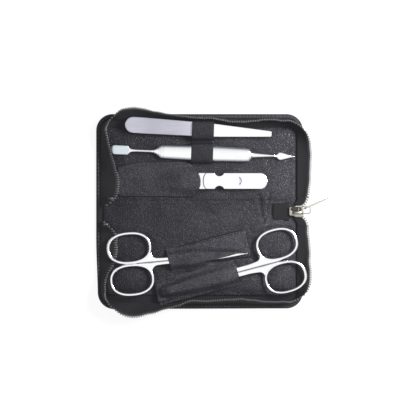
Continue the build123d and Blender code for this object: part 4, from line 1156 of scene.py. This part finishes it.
# Fuses overlapping bodies into one skin on a fine voxel grid, and smooths it a little.
def fused(geometry, voxel):
    points, faces = geometry
    mesh = bpy.data.meshes.new("raw")
    mesh.from_pydata(points.tolist(), [], faces)
    raw = bpy.data.objects.new("raw", mesh)
    bpy.context.scene.collection.objects.link(raw)
    grid = raw.modifiers.new("grid", "REMESH")
    grid.mode, grid.voxel_size = "VOXEL", voxel
    relax = raw.modifiers.new("relax", "SMOOTH")
    relax.factor, relax.iterations = 0.5, 3
    skin = bpy.data.meshes.new_from_object(raw.evaluated_get(bpy.context.evaluated_depsgraph_get()))
    found = np.empty(len(skin.vertices) * 3, np.float32)
    skin.vertices.foreach_get("co", found)
    skinFaces = [list(face.vertices) for face in skin.polygons]
    bpy.data.objects.remove(raw)
    for done in (mesh, skin):
        bpy.data.meshes.remove(done)
    return found.reshape(-1, 3).astype(float), skinFaces


# One half of a pair of scissors, tip towards +X. The web fills the space between the shank and the
# ring: up to the ring's middle line y = out - b(1 - |x/a|^n)^(1/n) behind, and down a round fillet in front.
def scissorsHalf(side, flip):
    s = scissorsShape[side]
    wall, handle, n = scissorsShape["ringWall"], scissorsShape["handle"], scissorsShape["ringPower"]
    a, b, middle = s["ringLong"] / 2 - wall / 2, s["ringWide"] / 2 - wall / 2, -s["ringAt"]
    front, fillet = middle + s["ringLong"] / 2 - 0.9, s["fillet"]
    ring = ringTube(middle, s["ringOut"], s["ringLong"] / 2, s["ringWide"] / 2, wall, handle)
    u = np.unique(np.concatenate([np.linspace(middle - 4, -5.2, 130),
                                  np.linspace(front - 2, front + fillet, 60)]))
    behind = s["ringOut"] - b * np.clip(1 - np.abs((u - middle) / a)**n, 0, None)**(1 / n)
    ahead = np.clip(front + fillet - u, 0, fillet)
    corner = s["flare"] / 2 + fillet - np.sqrt(fillet**2 - ahead**2)
    taper = (s["flare"] - s["shank"]) / 2 * smoothStep(u, front + 1, front + 10)
    parting = 0.08 + 0.8 * smoothStep(middle + 2.5 - u, 0, 5)
    shank = blankShape(u, parting, np.minimum(behind, corner) - taper, handle / 2, power=4.0)
    length = s["blade"]
    v = np.linspace(-9, length, 110)
    high = smoothRun([(-9, s["shank"] / 2 - 0.1), (-3.6, s["shank"] / 2), (0, s["boss"]),
                      (4.4, s["boss"] * 0.66),
                      (length * 0.6, 1.1), (length, 0.2)], v)[0]
    low = smoothRun([(-9, 0.2), (-4.2, 0.1), (-2.6, -1.6), (0, -s["boss"]), (5, -s["boss"] + 0.35),
                     (length * 0.35, -2.3), (length * 0.7, -1.5), (length, -0.25)], v)[0]
    thick = np.interp(v, [-9, 0, length * 0.8, length], [0.6, 0.6, 0.5, 0.36])
    blade = blankShape(v, low, high, thick, middleZ=0.65 + 0 * v, power=3.5)
    points, faces = joinMeshes(ring, fused(joinMeshes(shank, blade), scissorsShape["voxel"]))
    if flip:
        points = points * np.array([1, -1, -1])
    return turned(points, s["turn"], (*s["pivot"], scissorsShape["midZ"])), faces


for side in ("left", "right"):
    for word, flip, body in (("upper", False, f"{side}_scissors_half"), ("lower", True, f"{side}_scissors")):
        makePiece(f"{side}Scissors{word.title()}Half", scissorsHalf(side, flip), polishedSteel, body=body,
                  stands=[f"{side}_scissors_{word}_half"], sharp=50)
print("tools made")


finishes = {"clipper_lower_jaw": polishedSteel, "clipper_upper_jaw": polishedSteel,
            "clipper_rivet": polishedSteel,
            "clipper_pin": polishedSteel, "left_scissors_screw": polishedSteel,
            "right_scissors_screw": polishedSteel,
            "pull_tab": zipNickel, "upper_top_stop": darkTeeth, "lower_top_stop": darkTeeth}
for name, finish in finishes.items():
    node = nodes[name]
    node.data.materials.clear()
    node.data.materials.append(finish)


sliderShape = {"plan": [(62.6, 2.5), (62.9, 2.9), (63.5, 3.0), (65.2, 3.05), (66.0, 3.5), (66.8, 4.0),
                        (68.0, 4.05),
                        (71.2, 4.05), (71.9, 3.8), (72.3, 3.0)],
               "bottom": (3.7, 0.4), "top": (6.2, 0.5), "core": (4.9, 1.3), "coreEnd": 70.2,
               "coreShare": 0.72,
               "bridge": (64.9, 71.5, 6.5, 1.9, 0.8), "bridgeY": -0.9, "bridgeHalf": 0.3,
               "shadowOval": (67.2, 1.55, 4.1, 1.85, 6.76)}


# Slider: two plates on one plan, a narrower core between them, a bridge z = foot + rise*sin(t)^(1/2) over the top
# plate and a thin dark oval beside it, painted shadow of the bridge.
def zipSlider():
    s = sliderShape
    u = np.unique(np.concatenate([np.linspace(s["plan"][0][0], s["plan"][-1][0], 50),
                                  np.array(s["plan"])[:, 0]]))
    half = smoothRun(s["plan"], u)[0]
    plates = [ringsMesh(barRings(u, half, np.full_like(u, s[key][1]), 5.0,
                                 middleZ=s[key][0])) for key in ("bottom", "top")]
    inner = u[u < s["coreEnd"]]
    core = ringsMesh(barRings(inner, half[u < s["coreEnd"]] * s["coreShare"],
                              np.full_like(inner, s["core"][1]), 6.0,
                              middleZ=s["core"][0]))
    start, end, foot, rise, wide = s["bridge"]
    t = np.linspace(0, math.pi, 40)
    x, z = (start + end) / 2 - (end - start) / 2 * np.cos(t), foot + rise * np.sqrt(np.sin(t))
    wayX, wayZ = np.gradient(x), np.gradient(z)
    size = np.hypot(wayX, wayZ)
    a = np.linspace(0, 2 * math.pi, 16, endpoint=False)[None, :]
    out = s["bridgeHalf"] * np.sin(a)
    bridge = np.stack([x[:, None] - (wayZ / size)[:, None] * out,
                       s["bridgeY"] + 0 * x[:, None] + wide * squared(np.cos(a), 0.5),
                       z[:, None] + (wayX / size)[:, None] * out], -1)
    makePiece("zipSlider", joinMeshes(*plates, core, ringsMesh(bridge)), zipNickel, body="spine",
              stands=["slider_body"],
              sharp=50)
    # A thin dark oval on the top plate: painted shadow of the bridge.
    cx, cy, rx, ry, level = s["shadowOval"]
    across = np.linspace(-0.98, 0.98, 24)
    swell = np.sqrt(1 - across**2)
    oval = barRings(cx + rx * across, ry * swell, 0.09 * swell, 2.0, middleY=cy, middleZ=level)
    makePiece("zipSliderShadowOval", ringsMesh(oval), sliderShadowDark, body="spine", sharp=60)


zipSlider()

linkShape = {"x": 72.95, "y": 0.9, "z": 7.3, "long": 8.6, "wide": 5.4, "wire": 0.62, "power": 5.0}


# Wire link: a round wire bent along |x/a|^n + |y/b|^n = 1 with n = 5.
def pullLink():
    s = linkShape
    t = np.linspace(0, 2 * math.pi, 120, endpoint=False)
    px = (s["long"] - s["wire"]) / 2 * squared(np.cos(t), 2 / s["power"])
    py = (s["wide"] - s["wire"]) / 2 * squared(np.sin(t), 2 / s["power"])
    way = np.stack([np.roll(px, -1) - np.roll(px, 1), np.roll(py, -1) - np.roll(py, 1)], -1)
    way /= np.linalg.norm(way, axis=1, keepdims=True)
    a = np.linspace(0, 2 * math.pi, 12, endpoint=False)
    out, lift = np.cos(a) * s["wire"] / 2, np.sin(a) * s["wire"] / 2
    rings = np.stack([s["x"] + px[:, None] + way[:, 1:] * out, s["y"] + py[:, None] - way[:, :1] * out,
                      s["z"] + lift + 0 * px[:, None]], -1)
    makePiece("pullLink", ringsMesh(rings, loop=True), zipNickel, body="pull_link", stands=["pull_link"],
              sharp=60)


pullLink()


# End tab: woven tape folded over the zip's joined end, with a second layer at its left edge.
def zipEndTab():
    tab = flatPanel([(51.5, -6.75), (62.45, -6.75)], [(51.5, 6.75), (62.45, 6.75)],
                    lambda x, y: 0.12 * softNoise(x, y, 61, 6) - 0.9 * smoothStep(np.abs(y), 5.2, 6.8),
                    thick=0.7, floor=3.35, rows=30, columns=24)
    fold = flatPanel([(51.3, -5.2), (53.9, -5.2)], [(51.3, 5.2), (53.9, 5.2)],
                     lambda x, y: 0.05 * softNoise(x, y, 62, 5), thick=0.5, floor=4.1, rows=24, columns=10)
    geometry = joinMeshes(tab, fold)
    makePiece("zipEndTab", geometry, wovenTape, body="spine", stands=["zip_end_tab"],
              uv=geometry[0][:, :2], sharp=60)


zipEndTab()

hemStitch = {"inset": 1.6, "z": 2.9, "near": 11.0}


# A seam round the hem of each half, a little in from the edge.
def hemSeam(name, side, body):
    x, far = caseShape["halfLength"] - hemStitch["inset"], caseShape["edgeY"] - hemStitch["inset"]
    r, turn = caseShape["corner"] - hemStitch["inset"], np.linspace(0, math.pi / 2, 24)
    px = np.concatenate([[-x], -x + r - r * np.cos(turn), x - r + r * np.sin(turn), [x]])
    near = hemStitch["near"]
    py = np.concatenate([[near], far - r + r * np.sin(turn), far - r + r * np.cos(turn), [near]])
    path = np.stack([px, py * side, np.full_like(px, hemStitch["z"])], -1)
    makePiece(name, stitches(path, pitch=2.6, dash=1.8), waxedThread, body=body, sharp=60)


hemSeam("upperHemSeam", 1, "upper_case")
hemSeam("lowerHemSeam", -1, "lower_case")
print("zip slider, pull link, tab and seams made")


def floorMaterial():
    material, tree, shader = startMaterial("paleFloor", Roughness=0.9)
    speck = addNode(tree, "ShaderNodeTexNoise", {"Scale": 40.0, "Detail": 2.0})
    tree.links.new(addNode(tree, "ShaderNodeTexCoord").outputs["Object"], speck.inputs["Vector"])
    tone = mixColour(tree, (0.93, 0.93, 0.93, 1), (0.96, 0.96, 0.96, 1), speck.outputs["Fac"])
    tree.links.new(tone, shader.inputs["Base Color"])
    light = addNode(tree, "ShaderNodeLightPath")
    seen = math2(tree, "MAXIMUM", light.outputs["Is Camera Ray"], light.outputs["Is Glossy Ray"])
    glow = addNode(tree, "ShaderNodeEmission", {"Color": (1, 1, 1, 1), "Strength": 1.0})
    mixed = addNode(tree, "ShaderNodeMixShader", {0: math2(tree, "MULTIPLY", seen, 0.9), 1: shader.outputs[0],
                                                  2: glow.outputs[0]})
    tree.links.new(mixed.outputs[0], tree.nodes["Material Output"].inputs["Surface"])
    return material


floorMesh = bpy.data.meshes.new("floor")
floorReach, floorDrop = 2.5, 0.0002   # metres
corners = np.array([(-1, -1, 0), (1, -1, 0), (1, 1, 0), (-1, 1, 0)]) * floorReach
floorMesh.from_pydata((corners - np.array([0, 0, floorDrop])).tolist(), [], [[0, 1, 2, 3]])
floorMesh.materials.append(floorMaterial())
floor = bpy.data.objects.new("floor", floorMesh)
bpy.context.scene.collection.objects.link(floor)

# Studio sky: white overhead, falling to a dull blue-grey at the horizon, darker towards +Y.
lightLevels = {"from": 0.35, "full": 0.96, "lean": 0.22, "away": -0.30, "strength": 1.06, "lampPower": 4.2,
               "lampSize": 0.16, "lampAt": (0.27, 0.12, 0.34)}
world = bpy.data.worlds.new("studio")
bpy.context.scene.world = world
world.use_nodes = True
sky = world.node_tree
way = addNode(sky, "ShaderNodeSeparateXYZ", {0: addNode(sky, "ShaderNodeTexCoord").outputs["Generated"]})
climb = addNode(sky, "ShaderNodeMapRange", {"Value": way.outputs[2], "From Min": lightLevels["from"],
                                            "From Max": lightLevels["full"]},
                interpolation_type="SMOOTHSTEP").outputs[0]
leaning = math2(sky, "ADD", math2(sky, "MULTIPLY", way.outputs[0], lightLevels["lean"]),
                math2(sky, "MULTIPLY", way.outputs[1], lightLevels["away"]))
level = math2(sky, "ADD", climb, leaning, clamp=True)
shade = mixColour(sky, (0.15, 0.155, 0.18, 1), (1, 1, 1, 1), level)
backdrop = sky.nodes["Background"]
sky.links.new(shade, backdrop.inputs["Color"])
backdrop.inputs["Strength"].default_value = lightLevels["strength"]

lamp = bpy.data.lights.new("softbox", "AREA")
lamp.shape = "RECTANGLE"
lamp.size = lamp.size_y = lightLevels["lampSize"]
lamp.energy = lightLevels["lampPower"]
lampPlace = bpy.data.objects.new("softbox", lamp)
lampPlace.location = lightLevels["lampAt"]
bpy.context.scene.collection.objects.link(lampPlace)
aim = -lampPlace.location
lampPlace.rotation_euler = aim.to_track_quat("-Z", "Y").to_euler()

# The camera looks straight down. The middle of the photograph is at x and y of this frame.
cameraPlace = {"pixelsPerMillimetre": 1.437, "x": 7.3, "y": 0.98, "height": 1500.0, "focusZ": 5.0,
               "pixels": 420, "sensor": 36.0}
camera = bpy.data.cameras.new("camera")
camera.sensor_width = cameraPlace["sensor"]
seenWidth = cameraPlace["pixels"] / cameraPlace["pixelsPerMillimetre"]
camera.lens = cameraPlace["sensor"] * (cameraPlace["height"] - cameraPlace["focusZ"]) / seenWidth
camera.clip_end = 10.0
cameraObject = bpy.data.objects.new("camera", camera)
cameraObject.location = (cameraPlace["x"] * 0.001, cameraPlace["y"] * 0.001, cameraPlace["height"] * 0.001)
bpy.context.scene.collection.objects.link(cameraObject)
bpy.context.scene.camera = cameraObject
bpy.context.scene.view_settings.view_transform = "Standard"
print("floor, light and camera set")
